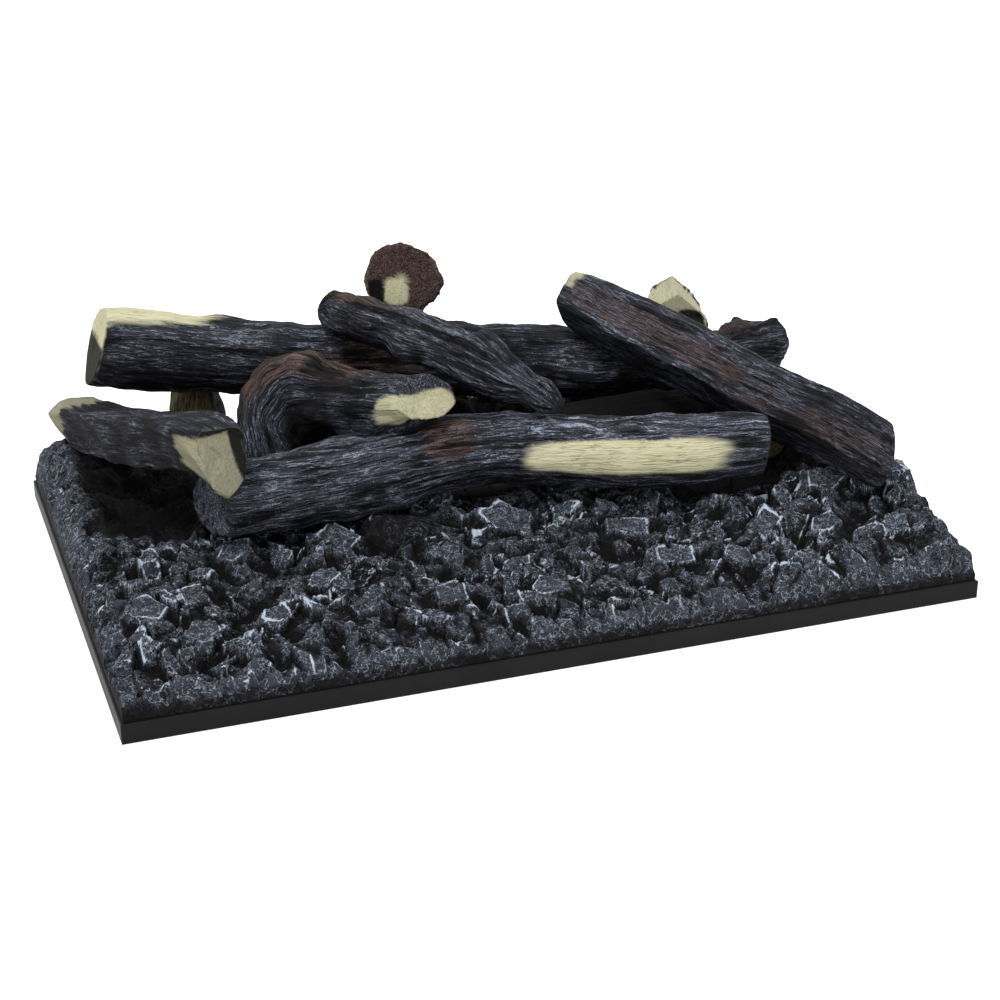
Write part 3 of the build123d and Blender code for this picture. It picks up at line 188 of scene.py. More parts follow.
class Value:
    """A number in a material: a socket whose sums and products add Math nodes."""

    def __init__(self, tree: NodeTree, socket: Socket) -> None:
        """Wraps a socket of a tree."""
        self.tree = tree
        self.socket = socket

    def joined(self, operation: str, first: Value | float, second: Value | float = 0.0) -> Value:
        """The Math node of two values.

        Args:
            operation: The Math node's own name for what it does.
            first: The left value.
            second: The right value.

        Returns:
            The node's value.
        """
        return self.tree.value("ShaderNodeMath", {"operation": operation}, {0: first, 1: second})

    def __add__(self, other: Value | float) -> Value:
        """self + other."""
        return self.joined("ADD", self, other)

    def __radd__(self, other: Value | float) -> Value:
        """other + self."""
        return self.joined("ADD", other, self)

    def __sub__(self, other: Value | float) -> Value:
        """self - other."""
        return self.joined("SUBTRACT", self, other)

    def __rsub__(self, other: Value | float) -> Value:
        """other - self."""
        return self.joined("SUBTRACT", other, self)

    def __mul__(self, other: Value | float) -> Value:
        """self * other."""
        return self.joined("MULTIPLY", self, other)

    def __rmul__(self, other: Value | float) -> Value:
        """other * self."""
        return self.joined("MULTIPLY", other, self)

    def stepped(self, low: float, high: float) -> Value:
        """Smooth step.

        Args:
            low: Where it is 0.
            high: Where it is 1; less than low turns it round.

        Returns:
            The step.
        """
        settings = {"interpolation_type": "SMOOTHSTEP"}
        inputs = {"Value": self, "From Min": low, "From Max": high}
        return self.tree.value("ShaderNodeMapRange", settings, inputs)


class NodeTree:
    """One material's nodes, round its shader."""

    def __init__(self, name: str) -> None:
        """Makes an empty material with a shader and an output.

        Args:
            name: The material's name.
        """
        self.material = bpy.data.materials.new(name)
        self.material.use_nodes = True
        self.nodes = self.material.node_tree.nodes
        self.nodes.clear()
        self.shader = self.node("ShaderNodeBsdfPrincipled")
        self.node("ShaderNodeOutputMaterial", inputs={"Surface": self.shader.outputs["BSDF"]})

    def node(self, kind: str, settings: dict | None = None, inputs: dict | None = None) -> bpy.types.Node:
        """Adds a node.

        Args:
            kind: The node's type.
            settings: Its own settings, which are set first.
            inputs: Values, sockets or Values for its inputs, by name or number.

        Returns:
            The node.
        """
        made = self.nodes.new(kind)
        for name, setting in (settings or {}).items():
            setattr(made, name, setting)
        for name, given in (inputs or {}).items():
            self.feed(made.inputs[name], given)
        return made

    def feed(self, socket: Socket, given: Value | Socket | float | tuple) -> None:
        """Links a socket to what is given, or sets it.

        Args:
            socket: The input.
            given: A Value or a socket, which is linked, or a number or tuple, which is set.
        """
        if isinstance(given, Value):
            given = given.socket
        if isinstance(given, Socket):
            self.material.node_tree.links.new(given, socket)
        elif isinstance(given, tuple) and len(given) == 3 and len(socket.default_value) == 4:
            socket.default_value = (*given, 1.0)
        else:
            socket.default_value = given

    def value(
        self, kind: str, settings: dict | None = None, inputs: dict | None = None, output: int | str = 0
    ) -> Value:
        """The value of a new node, at one of its outputs."""
        return Value(self, self.node(kind, settings, inputs).outputs[output])

    def attribute(self, name: str) -> Value:
        """A mask stored on the piece's points."""
        return self.value("ShaderNodeAttribute", {"attribute_name": name}, output="Fac")

    def places(self, scale: Triple = (1, 1, 1), name: str = "") -> Socket:
        """Where the surface is, for a pattern.

        Args:
            scale: Grains in a metre, in three directions.
            name: The stored vector that is read in place of the object's own coordinates.

        Returns:
            The scaled vector's socket.
        """
        if name:
            source = self.node("ShaderNodeAttribute", {"attribute_name": name}).outputs["Vector"]
        else:
            source = self.node("ShaderNodeTexCoord").outputs["Object"]
        return self.node("ShaderNodeMapping", inputs={"Vector": source, "Scale": scale}).outputs["Vector"]

    def noise(
        self, places: Socket, scale: float = 1.0, detail: float = 4.0, rough: float = 0.6
    ) -> Value:
        """Noise, mostly from 0.3 to 0.7.

        Args:
            places: The vector that it is read at.
            scale: Grains in a unit of it.
            detail: How many finer layers it has.
            rough: How strong they are.

        Returns:
            The noise's value.
        """
        inputs = {"Vector": places, "Scale": scale, "Detail": detail, "Roughness": rough}
        return self.value("ShaderNodeTexNoise", inputs=inputs)

    def lines(self, places: Socket, width: float) -> Value:
        """Thin winding lines, where a noise passes its middle value.

        Args:
            places: The vector that the noise is read at.
            width: How far from the middle value a line ends.

        Returns:
            1 on the lines, 0 off them.
        """
        height = self.noise(places, detail=3.0) - 0.5
        return height.joined("ABSOLUTE", height).stepped(width, 0.0)

    def mixed(
        self, share: Value, first: Colour | Socket, second: Colour | Socket
    ) -> Socket:
        """Blend of two colours.

        Args:
            share: How much of the second.
            first: The colour at 0.
            second: The colour at 1.

        Returns:
            The colour's socket.
        """
        settings = {"data_type": "RGBA", "clamp_factor": True}
        return self.node("ShaderNodeMix", settings, {0: share, 6: first, 7: second}).outputs[2]

    def bump(self, height: Value, depth: float) -> None:
        """Feeds the shader's normal with a relief of the given depth in metres."""
        inputs = {"Height": height, "Distance": depth, "Strength": 1.0}
        self.feed(self.shader.inputs["Normal"], self.node("ShaderNodeBump", inputs=inputs).outputs["Normal"])


@dataclass(frozen=True)
class Share:
    """How much of a colour shows: the weights of the patterns it adds up, and where it starts and is full."""

    weights: tuple[float, ...]
    start: float
    full: float

    def of(self, *patterns: Value) -> Value:
        """Smooth step of the sum of the patterns, each times its weight."""
        return weighed(self.weights, *patterns).stepped(self.start, self.full)


def weighed(weights: tuple[float, ...], *patterns: Value) -> Value:
    """Sum of patterns, each times its weight."""
    return reduce(operator.add, (pattern * weight for pattern, weight in zip(patterns, weights)))


@dataclass(frozen=True)
class CastFinish:
    """Painted cast refractory: dark body, pale dry-brushed crests, painted shade in hollows, masks for bared
    wood.

    The patterns are streaks along the grain, broad patches, grit, thin lines and cracks.
    """

    name: str
    body: Colour = srgb(17, 17, 20)
    body_light: Colour = srgb(56, 57, 66)
    # Dark of soot, char and cracks, and also of painted shade in hollows.
    soot_and_shade: Colour = srgb(7, 7, 9)
    crest: Colour = srgb(132, 139, 154)
    brown: Colour = srgb(88, 70, 63)
    brown_dark: Colour = srgb(34, 27, 28)
    pale: Colour = srgb(172, 168, 139)
    pale_grain: Colour = srgb(120, 112, 86)
    olive: Colour = srgb(106, 101, 69)
    streak: Triple = (52.0, 760.0, 760.0)
    scratch: Triple = (26.0, 300.0, 300.0)
    crack: Triple = (16.0, 170.0, 170.0)
    patch: float = 22.0
    grit: float = 900.0
    line: float = 0.035
    crack_width: float = 1.4
    relief: float = 0.0006
    relief_weights: tuple[float, ...] = (0.8, 0.25, -0.5, 0.6)
    light_share: Share = Share((0.6, 0.4, 0.5, 0.3), 0.62, 1.12)
    brown_share: Share = Share((0.7, 0.5), 0.46, 0.78)
    shade_and_crack_share: Share = Share((1.0, 0.7), 0.0, 1.0)
    dust_share: Share = Share((1.0, 0.3, 0.4), 0.55, 0.85)
    grit_share: Share = Share((1.0,), 0.35, 0.65)
    speck_share: Share = Share((1.0,), 0.6, 0.68)
    olive_share: Share = Share((1.0, 0.4), 0.5, 0.9)
    pale_share: Share = Share((0.7, 0.5, 0.2), 0.6, 0.95)
    smooth_dust: float = 0.3
    scratched: float = 0.8
    brushing: Pair = (0.9, 0.8)
    brushed_step: Pair = (0.55, 0.95)
    brushed: float = 0.95
    brown_cover: float = 0.7
    char_cover: float = 0.97
    roughness: Pair = (0.65, 0.95)
    gloss: float = 0.12

    def material(self) -> bpy.types.Material:
        """Colour: body by streaks, dark cracks, painted shade in hollows, thin pale lines and crests, then the
        masks.

        Returns:
            The material.
        """
        tree = NodeTree(self.name)
        streaks = tree.noise(tree.places(self.streak, "grain"), detail=5.0, rough=0.7)
        broad = tree.noise(tree.places(), self.patch)
        grit = tree.noise(tree.places(), self.grit, detail=3.0, rough=0.7)
        lines = tree.lines(tree.places(self.scratch, "grain"), self.line)
        cracks = tree.lines(tree.places(self.crack, "grain"), self.line * self.crack_width)
        dust, painted_shade, crest = (tree.attribute(mask) for mask in ("dust", "painted_shade", "crest"))
        pale, brown, olive, char = (tree.attribute(tone.value) for tone in Tone)
        body = tree.mixed(self.light_share.of(streaks, grit, broad, dust), self.body, self.body_light)
        browned = tree.mixed(self.brown_share.of(streaks, grit), self.brown_dark, self.brown)
        body = tree.mixed(brown, body, browned)
        # Painted shade: the body darkens in hollows; cracks darken it too.
        body = tree.mixed(self.shade_and_crack_share.of(painted_shade, cracks), body, self.soot_and_shade)
        gritty = self.grit_share.of(grit) * (1.0 - self.smooth_dust) + self.smooth_dust
        dusted = self.dust_share.of(broad, streaks, dust) * gritty
        thin = (lines + self.speck_share.of(grit) * dust) * dusted * self.scratched
        brushed = crest + weighed(self.brushing, grit - 0.5, streaks - 0.5)
        paint = thin + brushed.stepped(*self.brushed_step) * self.brushed
        # Pale paint is kept off the painted shade.
        paint = paint * (1.0 - painted_shade) * (1.0 - brown * self.brown_cover)
        colour = tree.mixed(paint, body, self.crest)
        wood = tree.mixed(self.olive_share.of(streaks, grit), self.body, self.olive)
        colour = tree.mixed(olive, colour, wood)
        wood = tree.mixed(self.pale_share.of(streaks, broad, lines), self.pale, self.pale_grain)
        colour = tree.mixed(pale, colour, wood)
        colour = tree.mixed(char * self.char_cover, colour, self.soot_and_shade)
        tree.feed(tree.shader.inputs["Base Color"], colour)
        smoothest, roughest = self.roughness
        tree.feed(tree.shader.inputs["Roughness"], smoothest + grit * (roughest - smoothest))
        tree.shader.inputs["Specular IOR Level"].default_value = self.gloss
        tree.bump(weighed(self.relief_weights, streaks, lines, cracks, grit), self.relief)
        return tree.material


@dataclass(frozen=True)
class MetalFinish:
    """Bare or painted metal with a fine grain, soft stains and a slight unevenness."""

    name: str
    colour: Colour
    stain: Colour
    roughness: float = 0.35
    metallic: float = 1.0
    grain: Triple = (60.0, 900.0, 900.0)
    relief: float = 0.00002
    specular: float = 0.5
    patch: float = 22.0
    stain_step: Pair = (0.4, 0.75)
    smoother: float = 0.12
    roughened: Pair = (0.12, 0.14)

    def material(self) -> bpy.types.Material:
        """Colour goes towards the stain by broad noise; roughness and relief follow the grain.

        Returns:
            The material.
        """
        tree = NodeTree(self.name)
        broad = tree.noise(tree.places(), self.patch)
        grain = tree.noise(tree.places(self.grain), detail=3.0)
        colour = tree.mixed(broad.stepped(*self.stain_step), self.colour, self.stain)
        tree.feed(tree.shader.inputs["Base Color"], colour)
        roughness = self.roughness - self.smoother + weighed(self.roughened, broad, grain)
        tree.feed(tree.shader.inputs["Roughness"], roughness)
        tree.shader.inputs["Metallic"].default_value = self.metallic
        tree.shader.inputs["Specular IOR Level"].default_value = self.specular
        tree.bump(grain, self.relief)
        return tree.material


def linked(name: str, data: bpy.types.ID) -> Object:
    """A new object, linked to the scene.

    Args:
        name: Its name.
        data: Its mesh, light or camera.

    Returns:
        The object.
    """
    piece = bpy.data.objects.new(name, data)
    bpy.context.scene.collection.objects.link(piece)
    return piece


def new_piece(name: str, points: Array, faces: Array, masks: dict[str, Array]) -> Object:
    """A smooth mesh object at the origin.

    Args:
        name: The piece's name.
        points: Its points, in metres.
        faces: Corner numbers, three or four to a row.
        masks: What is stored on its points, by name: one number or three for each.

    Returns:
        The object, linked to the scene.
    """
    mesh = bpy.data.meshes.new(name)
    mesh.from_pydata(points.tolist(), [], faces.tolist())
    for title, values in masks.items():
        kind = "FLOAT" if values.ndim == 1 else "FLOAT_VECTOR"
        stored = mesh.attributes.new(title, kind, "POINT")
        stored.data.foreach_set("value" if values.ndim == 1 else "vector", values.astype(np.float32).ravel())
    mesh.polygons.foreach_set("use_smooth", np.ones(len(mesh.polygons), bool))
    mesh.update()
    return linked(name, mesh)


def evaluated_arrays(piece: Object) -> tuple[Array, Array, Array]:
    """The mesh of an object with its modifiers applied.

    Args:
        piece: The object.

    Returns:
        Points, their normals, and faces of four corners each.
    """
    shape = piece.evaluated_get(bpy.context.evaluated_depsgraph_get()).to_mesh()
    points, normals = np.empty(len(shape.vertices) * 3), np.empty(len(shape.vertices) * 3)
    shape.vertices.foreach_get("co", points)
    shape.vertices.foreach_get("normal", normals)
    corners = np.empty(len(shape.loops), dtype=int)
    shape.loops.foreach_get("vertex_index", corners)
    per_face = len(shape.loops) // max(len(shape.polygons), 1)
    piece.to_mesh_clear()
    return points.reshape(-1, 3), normals.reshape(-1, 3), corners.reshape(-1, per_face)


@dataclass(frozen=True)
class Patch:
    """A bared or stained place on a log.

    along is its middle and half length as shares of the log; facing is the angle of its middle and its half
    width in degrees, 0 towards the front or the left side, 90 up. fade is the share of it that fades out,
    ragged how much noise frays it, power makes it squarer, and strength is how much of the tone it gets. A
    cut patch lies below the bark.
    """

    tone: Tone
    along: Pair
    facing: Pair
    fade: float = 0.15
    ragged: float = 0.2
    power: float = 2.0
    cut: bool = True
    strength: float = 1.0


@dataclass(frozen=True)
class Flat:
    """A split face along a log: the angle it faces, how far out it lies in shares of the radius, and where."""

    facing: float
    reach: float
    along: Pair = (-0.1, 1.1)


@dataclass(frozen=True)
class Swelling:
    """A knot or a hanging flap: middle and half length along, middle and half width round, and its rise."""

    along: Pair
    facing: Pair
    rise: float


@dataclass(frozen=True)
class Spot:
    """A mark on a sawn end: which end, its middle and its half sizes as shares of the radius."""

    tone: Tone
    at_end: bool
    middle: Pair
    half: Pair


def smoothed_line(points: Array, count: int = 40, rounds: int = 6) -> Array:
    """A smooth curve near some points in order.

    The points are spread evenly by length, then averaged with their neighbours, the ends held.

    Args:
        points: The points, in order.
        count: How many the curve has.
        rounds: How often they are averaged.

    Returns:
        The curve's points.
    """
    run = np.concatenate([[0], np.cumsum(np.linalg.norm(np.diff(points, axis=0), axis=1))])
    even = np.linspace(0, run[-1], count)
    line = np.stack([np.interp(even, run, points[:, i]) for i in range(3)], 1)
    for _ in range(rounds):
        line[1:-1] = (line[:-2] + 2 * line[1:-1] + line[2:]) / 4
    return line


def followed(points: Array, line: Array) -> tuple[Array, ...]:
    """Where points stand along and round a curve.

    Each point takes its nearest place on any of the curve's segments. The direction there is blended
    between the segments' ends. Side is that direction crossed with up, and up is side crossed with it.

    Args:
        points: The points.
        line: The curve's points.

    Returns:
        Triple along in metres, distance to the side, distance up, and the direction.
    """
    start, step = line[:-1], np.diff(line, axis=0)
    share = np.einsum("nsk,sk->ns", points[:, None] - start, step) / (step**2).sum(1)
    share = np.clip(share, 0, 1)
    gap = ((points[:, None] - start - share[..., None] * step) ** 2).sum(-1)
    nearest = gap.argmin(1)
    share = np.take_along_axis(share, nearest[:, None], 1)
    directions = np.gradient(line, axis=0)
    direction = directions[nearest] * (1 - share) + directions[nearest + 1] * share
    direction /= np.linalg.norm(direction, axis=1, keepdims=True)
    side = np.cross(direction, [0, 0, 1])
    side /= np.linalg.norm(side, axis=1, keepdims=True)
    offset = points - start[nearest] - share * step[nearest]
    lengths = np.linalg.norm(step, axis=1)
    before = np.concatenate([[0], np.cumsum(lengths)])[nearest]
    place = before + share[:, 0] * lengths[nearest] + (offset * direction).sum(1)
    return place, (offset * side).sum(1), (offset * np.cross(side, direction)).sum(1), direction


def direction_out(across: Array, height: Array, direction: Array) -> Array:
    """Unit vectors from the middle line out to points.

    Args:
        across: Distance of each point to the side of the line.
        height: Distance up from it.
        direction: The line's direction at each point.

    Returns:
        One vector for each point.
    """
    side = np.cross(direction, [0, 0, 1])
    side /= np.linalg.norm(side, axis=1, keepdims=True)
    out = across[:, None] * side + height[:, None] * np.cross(side, direction)
    return out / np.maximum(np.linalg.norm(out, axis=1, keepdims=True), TINY)


@dataclass(frozen=True)
class Course:
    """Where the points of a log lie.

    along is the share of its length, across and height are the distances to the side and up from its middle
    line, and ragged is the noise that frays the edges of patches.
    """

    along: Array
    across: Array
    height: Array
    ragged: Array

    @property
    def far(self) -> Array:
        """Distance of each point from the middle line."""
        return np.maximum(np.hypot(self.across, self.height), MM)

    @property
    def radius(self) -> float:
        """The log's middle radius."""
        return np.median(self.far)

    def turned(self, facing: float) -> Array:
        """Angle round the log from a facing to each point, from -180 to 180 degrees."""
        return (np.degrees(np.arctan2(self.height, self.across)) - facing + 180) % 360 - 180


@dataclass(frozen=True)
class Carving:
    """How every log is carved: reaches as shares of its length, depths and rims as shares of the full ones.

    Steps, fadings and facings are the two ends of a smooth step. The two numbers of what is lost are for a
    sawn end and for a bared place, and those of the dusty end are the extra dust and how far along it goes.
    """

    merged: float = 0.02 * MM
    crease: float = 0.8
    slices: int = 9
    every: int = 7
    core: float = 0.8
    lean_reach: float = 0.12
    flat_fade: float = 0.04
    taper_from: float = 0.7
    end_fade: float = 0.6
    sawn_facing: Pair = (0.6, 0.8)
    spot_sawn: Pair = (0.1, 0.5)
    spot_step: Pair = (1.05, 0.9)
    spot_power: int = 4
    spot_fray: float = 0.04
    fine_bark: Triple = (2.0, 2.3, 2.3)
    frayed: Triple = (30 * MM, 4 * MM, 4 * MM)
    coarse_depth: float = 0.7
    fine_depth: float = 0.35
    bark_lost: Pair = (0.8, 0.75)
    lumps_lost: Pair = (0.7, 0.4)
    swelling_step: Pair = (1.0, 0.35)
    swelling_fray: float = 0.12
    coarse_line: float = 0.16
    fine_line: float = 0.14
    fine_brightness: float = 0.9
    sawn_rim: float = 3.2
    patch_rim: float = 2.4
    upward: Pair = (-0.5, 0.6)
    lit_below: float = 0.6
    worn_size: float = 45 * MM
    worn_step: Pair = (-0.3, 0.5)
    worn_least: float = 0.72
    smooth_crest: float = 0.6
    # Painted shade between the bark's ridges: where it starts, how fast it grows, and its most.
    shade_from: float = 0.75
    shade_rate: float = 2.0
    shade_most: float = 0.8
    dusty_end: Pair = (0.4, 0.04)


@dataclass
class CastLog:
    """A cast log: the CAD log's surface made round, and carved with bark, cracks and bared places."""

    node: str
    seed: int
    patches: tuple[Patch, ...] = ()
    spots: tuple[Spot, ...] = ()
    flats: tuple[Flat, ...] = ()
    swellings: tuple[Swelling, ...] = ()
    dust: float = 0.2
    paleness: float = 1.0
    start_tone: Tone | None = None
    end_tone: Tone | None = None
    bark_depth: float = 2.4 * MM
    bark_run: float = 46 * MM
    bark_pitch: float = 7 * MM
    lump_depth: float = 2.4 * MM
    lump_size: float = 24 * MM
    cut_depth: float = 1.6 * MM
    smoothness: float = 0.0
    rough_start: bool = False
    end_reach: float = 0.12
    levels: int = 3
    crease_angle: float = 42.0
    taper: float = 0.0
    start_lean: Pair = (0.0, 0.0)
    worn_share: float = 1.0
    path: tuple[Triple, ...] = ()
    carving: Carving = Carving()

    def rounded(self, solid: Object) -> tuple[Array, Array, Array]:
        """The CAD log with its doubles merged, its end rims creased, and subdivided.

        Args:
            solid: The CAD node's object, which is only copied.

        Returns:
            Points, normals and faces of the smooth log.
        """
        made = bmesh.new()
        made.from_mesh(solid.data)
        bmesh.ops.remove_doubles(made, verts=made.verts, dist=self.carving.merged)
        crease = made.edges.layers.float.new("crease_edge")
        for edge in made.edges:
            sharp = edge.calc_face_angle(0.0) > math.radians(self.crease_angle)
            edge[crease] = self.carving.crease * float(sharp)
        mesh = bpy.data.meshes.new("carving")
        made.to_mesh(mesh)
        made.free()
        copy = linked("carving", mesh)
        smooth = copy.modifiers.new("smooth", "SUBSURF")
        smooth.levels = smooth.render_levels = self.levels
        arrays = evaluated_arrays(copy)
        bpy.data.objects.remove(copy)
        return arrays

    def centre_line(self, points: Array) -> Array:
        """The log's middle: means of the points in slices of its longest direction, or its own path.

        Args:
            points: The smooth log's points.

        Returns:
            A curve, from the left or the back to the right or the front.
        """
        if self.path:
            return smoothed_line(np.array(self.path))
        slices = self.carving.slices
        middle = points.mean(0)
        run = np.linalg.svd(points[:: self.carving.every] - middle, full_matrices=False)[2][0]
        run = run * np.sign(run[0] - run[1])
        place = (points - middle) @ run
        number = np.minimum(((place - place.min()) / np.ptp(place) * slices).astype(int), slices - 1)
        count = np.bincount(number, minlength=slices)
        means = np.stack([np.bincount(number, points[:, i], slices) / count for i in range(3)], 1)
        means[0] += run * (place.min() - (means[0] - middle) @ run)
        means[-1] += run * (place.max() - (means[-1] - middle) @ run)
        return smoothed_line(means)

    def mask(self, patches: list[Patch], course: Course) -> Array:
        """How much each point shows of some patches.

        A patch is 1 where the distance from its middle, along and round, each over its half size and joined
        by its power, stays under 1, and it fades before that. Noise frays its edge.

        Args:
            patches: Which patches.
            course: Where the points lie.

        Returns:
            The mask, from 0 to 1.
        """
        total = np.zeros(len(course.along))
        for patch in patches:
            far = np.abs((course.along - patch.along[0]) / patch.along[1]) ** patch.power
            far = far + np.abs(course.turned(patch.facing[0]) / patch.facing[1]) ** patch.power
            shown = eased(1.0, 1.0 - patch.fade, far ** (1 / patch.power) + patch.ragged * course.ragged)
            total = np.maximum(total, patch.strength * shown)
        return total

    def shaved(self, course: Course) -> Array:
        """How far each point moves in towards the middle line for the split faces and the tapered end.

        A point beyond a face's plane moves in until it is on it: its distance from the line times the part
        of its reach that is over the plane's.

        Args:
            course: Where the points lie.

        Returns:
            Distances in metres.
        """
        along, fade = course.along, self.carving.flat_fade
        kept = np.ones(len(along))
        for flat in self.flats:
            turn = math.radians(flat.facing)
            reach = course.across * math.cos(turn) + course.height * math.sin(turn)
            over = np.minimum(flat.reach * course.radius / np.maximum(reach, MM), 1)
            first, last = flat.along
            inside = eased(first - fade, first, along) * eased(last + fade, last, along)
            kept = np.minimum(kept, 1 + (over - 1) * inside)
        return course.far * (1 - kept * (1 - self.taper * eased(self.carving.taper_from, 1.0, along)))

    def sawn(self, along: Array, facing_end: Array) -> Array:
        """How much each point is part of a sawn end: near an end, and facing along the log.

        Args:
            along: Share of the length at each point.
            facing_end: Cosine of the angle between the surface's normal and the log.

        Returns:
            Shares from 0 to 1.
        """
        ends = eased(self.end_reach, self.end_reach * self.carving.end_fade, np.minimum(along, 1 - along))
        sawn = eased(*self.carving.sawn_facing, facing_end) * ends
        return sawn * ((along > 0.5) if self.rough_start else 1)

    def tones(self, course: Course, sawn: Array) -> dict[str, Array]:
        """How much each point shows of each tone: its patches, the sawn ends that have it, and its spots.

        A spot is 1 where the fourth root of the sum of the offsets' fourth powers stays under 1.

        Args:
            course: Where the points lie.
            sawn: How much each point is part of a sawn end.

        Returns:
            The masks by name.
        """
        carving = self.carving
        masks = {}
        for tone in Tone:
            masks[tone.value] = self.mask([patch for patch in self.patches if patch.tone is tone], course)
        last = course.along >= 0.5
        for tone, end in ((self.start_tone, ~last), (self.end_tone, last)):
            if tone:
                masks[tone.value] = np.maximum(masks[tone.value], sawn * end)
        offsets = np.stack([course.across, course.height], 1) / course.radius
        for spot in self.spots:
            away = ((np.abs(offsets - spot.middle) / spot.half) ** carving.spot_power).sum(1)
            away = away ** (1 / carving.spot_power) + carving.spot_fray * course.ragged
            shown = eased(*carving.spot_step, away) * (last == spot.at_end) * eased(*carving.spot_sawn, sawn)
            masks[spot.tone.value] = np.maximum(masks[spot.tone.value], shown)
        return masks

    def swollen(self, course: Course) -> Array:
        """How far each point rises over knots and flaps: full in the middle of one, none past its half sizes.

        Args:
            course: Where the points lie.

        Returns:
            Distances in metres.
        """
        rise = np.zeros(len(course.along))
        for swelling in self.swellings:
            turn = course.turned(swelling.facing[0]) / swelling.facing[1]
            away = np.hypot((course.along - swelling.along[0]) / swelling.along[1], turn)
            shown = eased(*self.carving.swelling_step, away + self.carving.swelling_fray * course.ragged)
            rise = rise + swelling.rise * shown
        return rise

    def bark_lines(self, ridges: Array, fine: Array) -> Array:
        """The pale lines on the bark: 1 on top of its ridges, falling evenly to 0 at a line's depth below.

        Args:
            ridges: The coarse ridges, at most 1.
            fine: The fine ones.

        Returns:
            Shares from 0 to 1.
        """
        coarse_lines = np.clip(1 - (1 - ridges) / self.carving.coarse_line, 0, 1)
        fine_lines = np.clip(1 - (1 - fine) / self.carving.fine_line, 0, 1)
        return np.maximum(coarse_lines, self.carving.fine_brightness * fine_lines)

    def wear(self, points: Array) -> Array:
        """How much of the pale lines is left: less in worn places, on smooth logs and by the log's own share.

        Args:
            points: Where they are read.

        Returns:
            Shares from 0 to 1.
        """
        carving = self.carving
        worn = eased(*carving.worn_step, noise(points / carving.worn_size, self.seed + WORN_SEED))
        worn = carving.worn_least + (1 - carving.worn_least) * worn
        return worn * (1 - carving.smooth_crest * self.smoothness) * self.worn_share

    def build(self, solid: Object) -> Object:
        """The carved log.

        Bark is cut inwards: depth times one less the square of ridged noise, whose grain is long along the
        log and short round it. Lumps are round noise. Sawn ends keep flat, with only a little relief, and cut
        patches lie lower than the bark. The crest mask follows the pale lines and the rims of ends and cuts,
        and the painted shade mask darkens what lies between the ridges. A sawn end's grain lies flat on it.

        Args:
            solid: The CAD node's object.

        Returns:
            The piece.
        """
        carving = self.carving
        points, normals, faces = self.rounded(solid)
        place, across, height, direction = followed(points, self.centre_line(points))
        along = (place - place.min()) / np.ptp(place)
        far = np.maximum(np.hypot(across, height), MM)
        radius = np.median(far)
        ring = np.stack([across, height], 1) * (radius / np.maximum(far, carving.core * radius))[:, None]
        grain = np.column_stack([place, ring])
        course = Course(along, across, height, layered(grain / carving.frayed, self.seed + FRAY_SEED, 2))
        points = points - direction_out(across, height, direction) * self.shaved(course)[:, None]
        lean = self.start_lean[0] * across + self.start_lean[1] * (height.max() - height)
        points = points + direction * (lean * eased(carving.lean_reach, 0.0, along))[:, None]
        sawn = self.sawn(along, np.abs((normals * direction).sum(1)))

        stretched = grain / [self.bark_run, self.bark_pitch, self.bark_pitch]
        ridges = 1 - np.abs(noise(stretched, self.seed))
        fine = 1 - np.abs(noise(stretched * carving.fine_bark, self.seed + FINE_SEED))
        lumps = layered(points / self.lump_size, self.seed + LUMP_SEED, 2)
        masks = self.tones(course, sawn)
        cuts = [patch for patch in self.patches if patch.cut and patch.tone is Tone.PALE]
        below = self.mask(cuts, course)
        bared = np.maximum(masks[Tone.PALE.value], self.smoothness)
        masks[Tone.PALE.value] = masks[Tone.PALE.value] * self.paleness

        bark = (1 - ridges**2) * carving.coarse_depth + (1 - fine**2) * carving.fine_depth
        on_sawn, on_bared = carving.bark_lost
        bark = self.bark_depth * bark * ((1 - sawn * on_sawn) * (1 - on_bared * bared))
        on_sawn, on_bared = carving.lumps_lost
        lumpy = self.lump_depth * lumps * (1 - on_sawn * sawn) * (1 - on_bared * bared)
        depth = bark + self.cut_depth * below - lumpy - self.swollen(course)
        moved = points - normals * depth[:, None]

        crest = self.bark_lines(ridges, fine) * (1 - sawn) * self.wear(points)
        rims = carving.sawn_rim * sawn * (1 - sawn) + carving.patch_rim * below * (1 - below)
        lit = carving.lit_below + (1 - carving.lit_below) * eased(*carving.upward, normals[:, 2])
        masks["crest"] = np.clip(np.maximum(crest, rims) * lit, 0, 1)
        # Painted shade between the bark's ridges, not on bared wood or sawn ends.
        painted_shade = np.clip((carving.shade_from - ridges) * carving.shade_rate, 0, carving.shade_most)
        masks["painted_shade"] = painted_shade * (1 - bared) * (1 - sawn)
        extra_dust, dusty_to = carving.dusty_end
        masks["dust"] = np.full(len(points), self.dust) + extra_dust * self.rough_start * (along < dusty_to)
        end_grain = np.column_stack([np.zeros(len(points)), across, height])
        masks["grain"] = np.where(sawn[:, None] > 0.5, end_grain, grain)
        return new_piece(self.node + "_bark", moved, faces, masks)


@dataclass(frozen=True)
class Chunk:
    """A big rock where the CAD has it: its place in shares of the tray, its size in chunk sizes, its lean."""

    place: Pair
    size: Pair
    heading: float
    lean: Pair = (0.0, 0.0)
    sides: int = 5


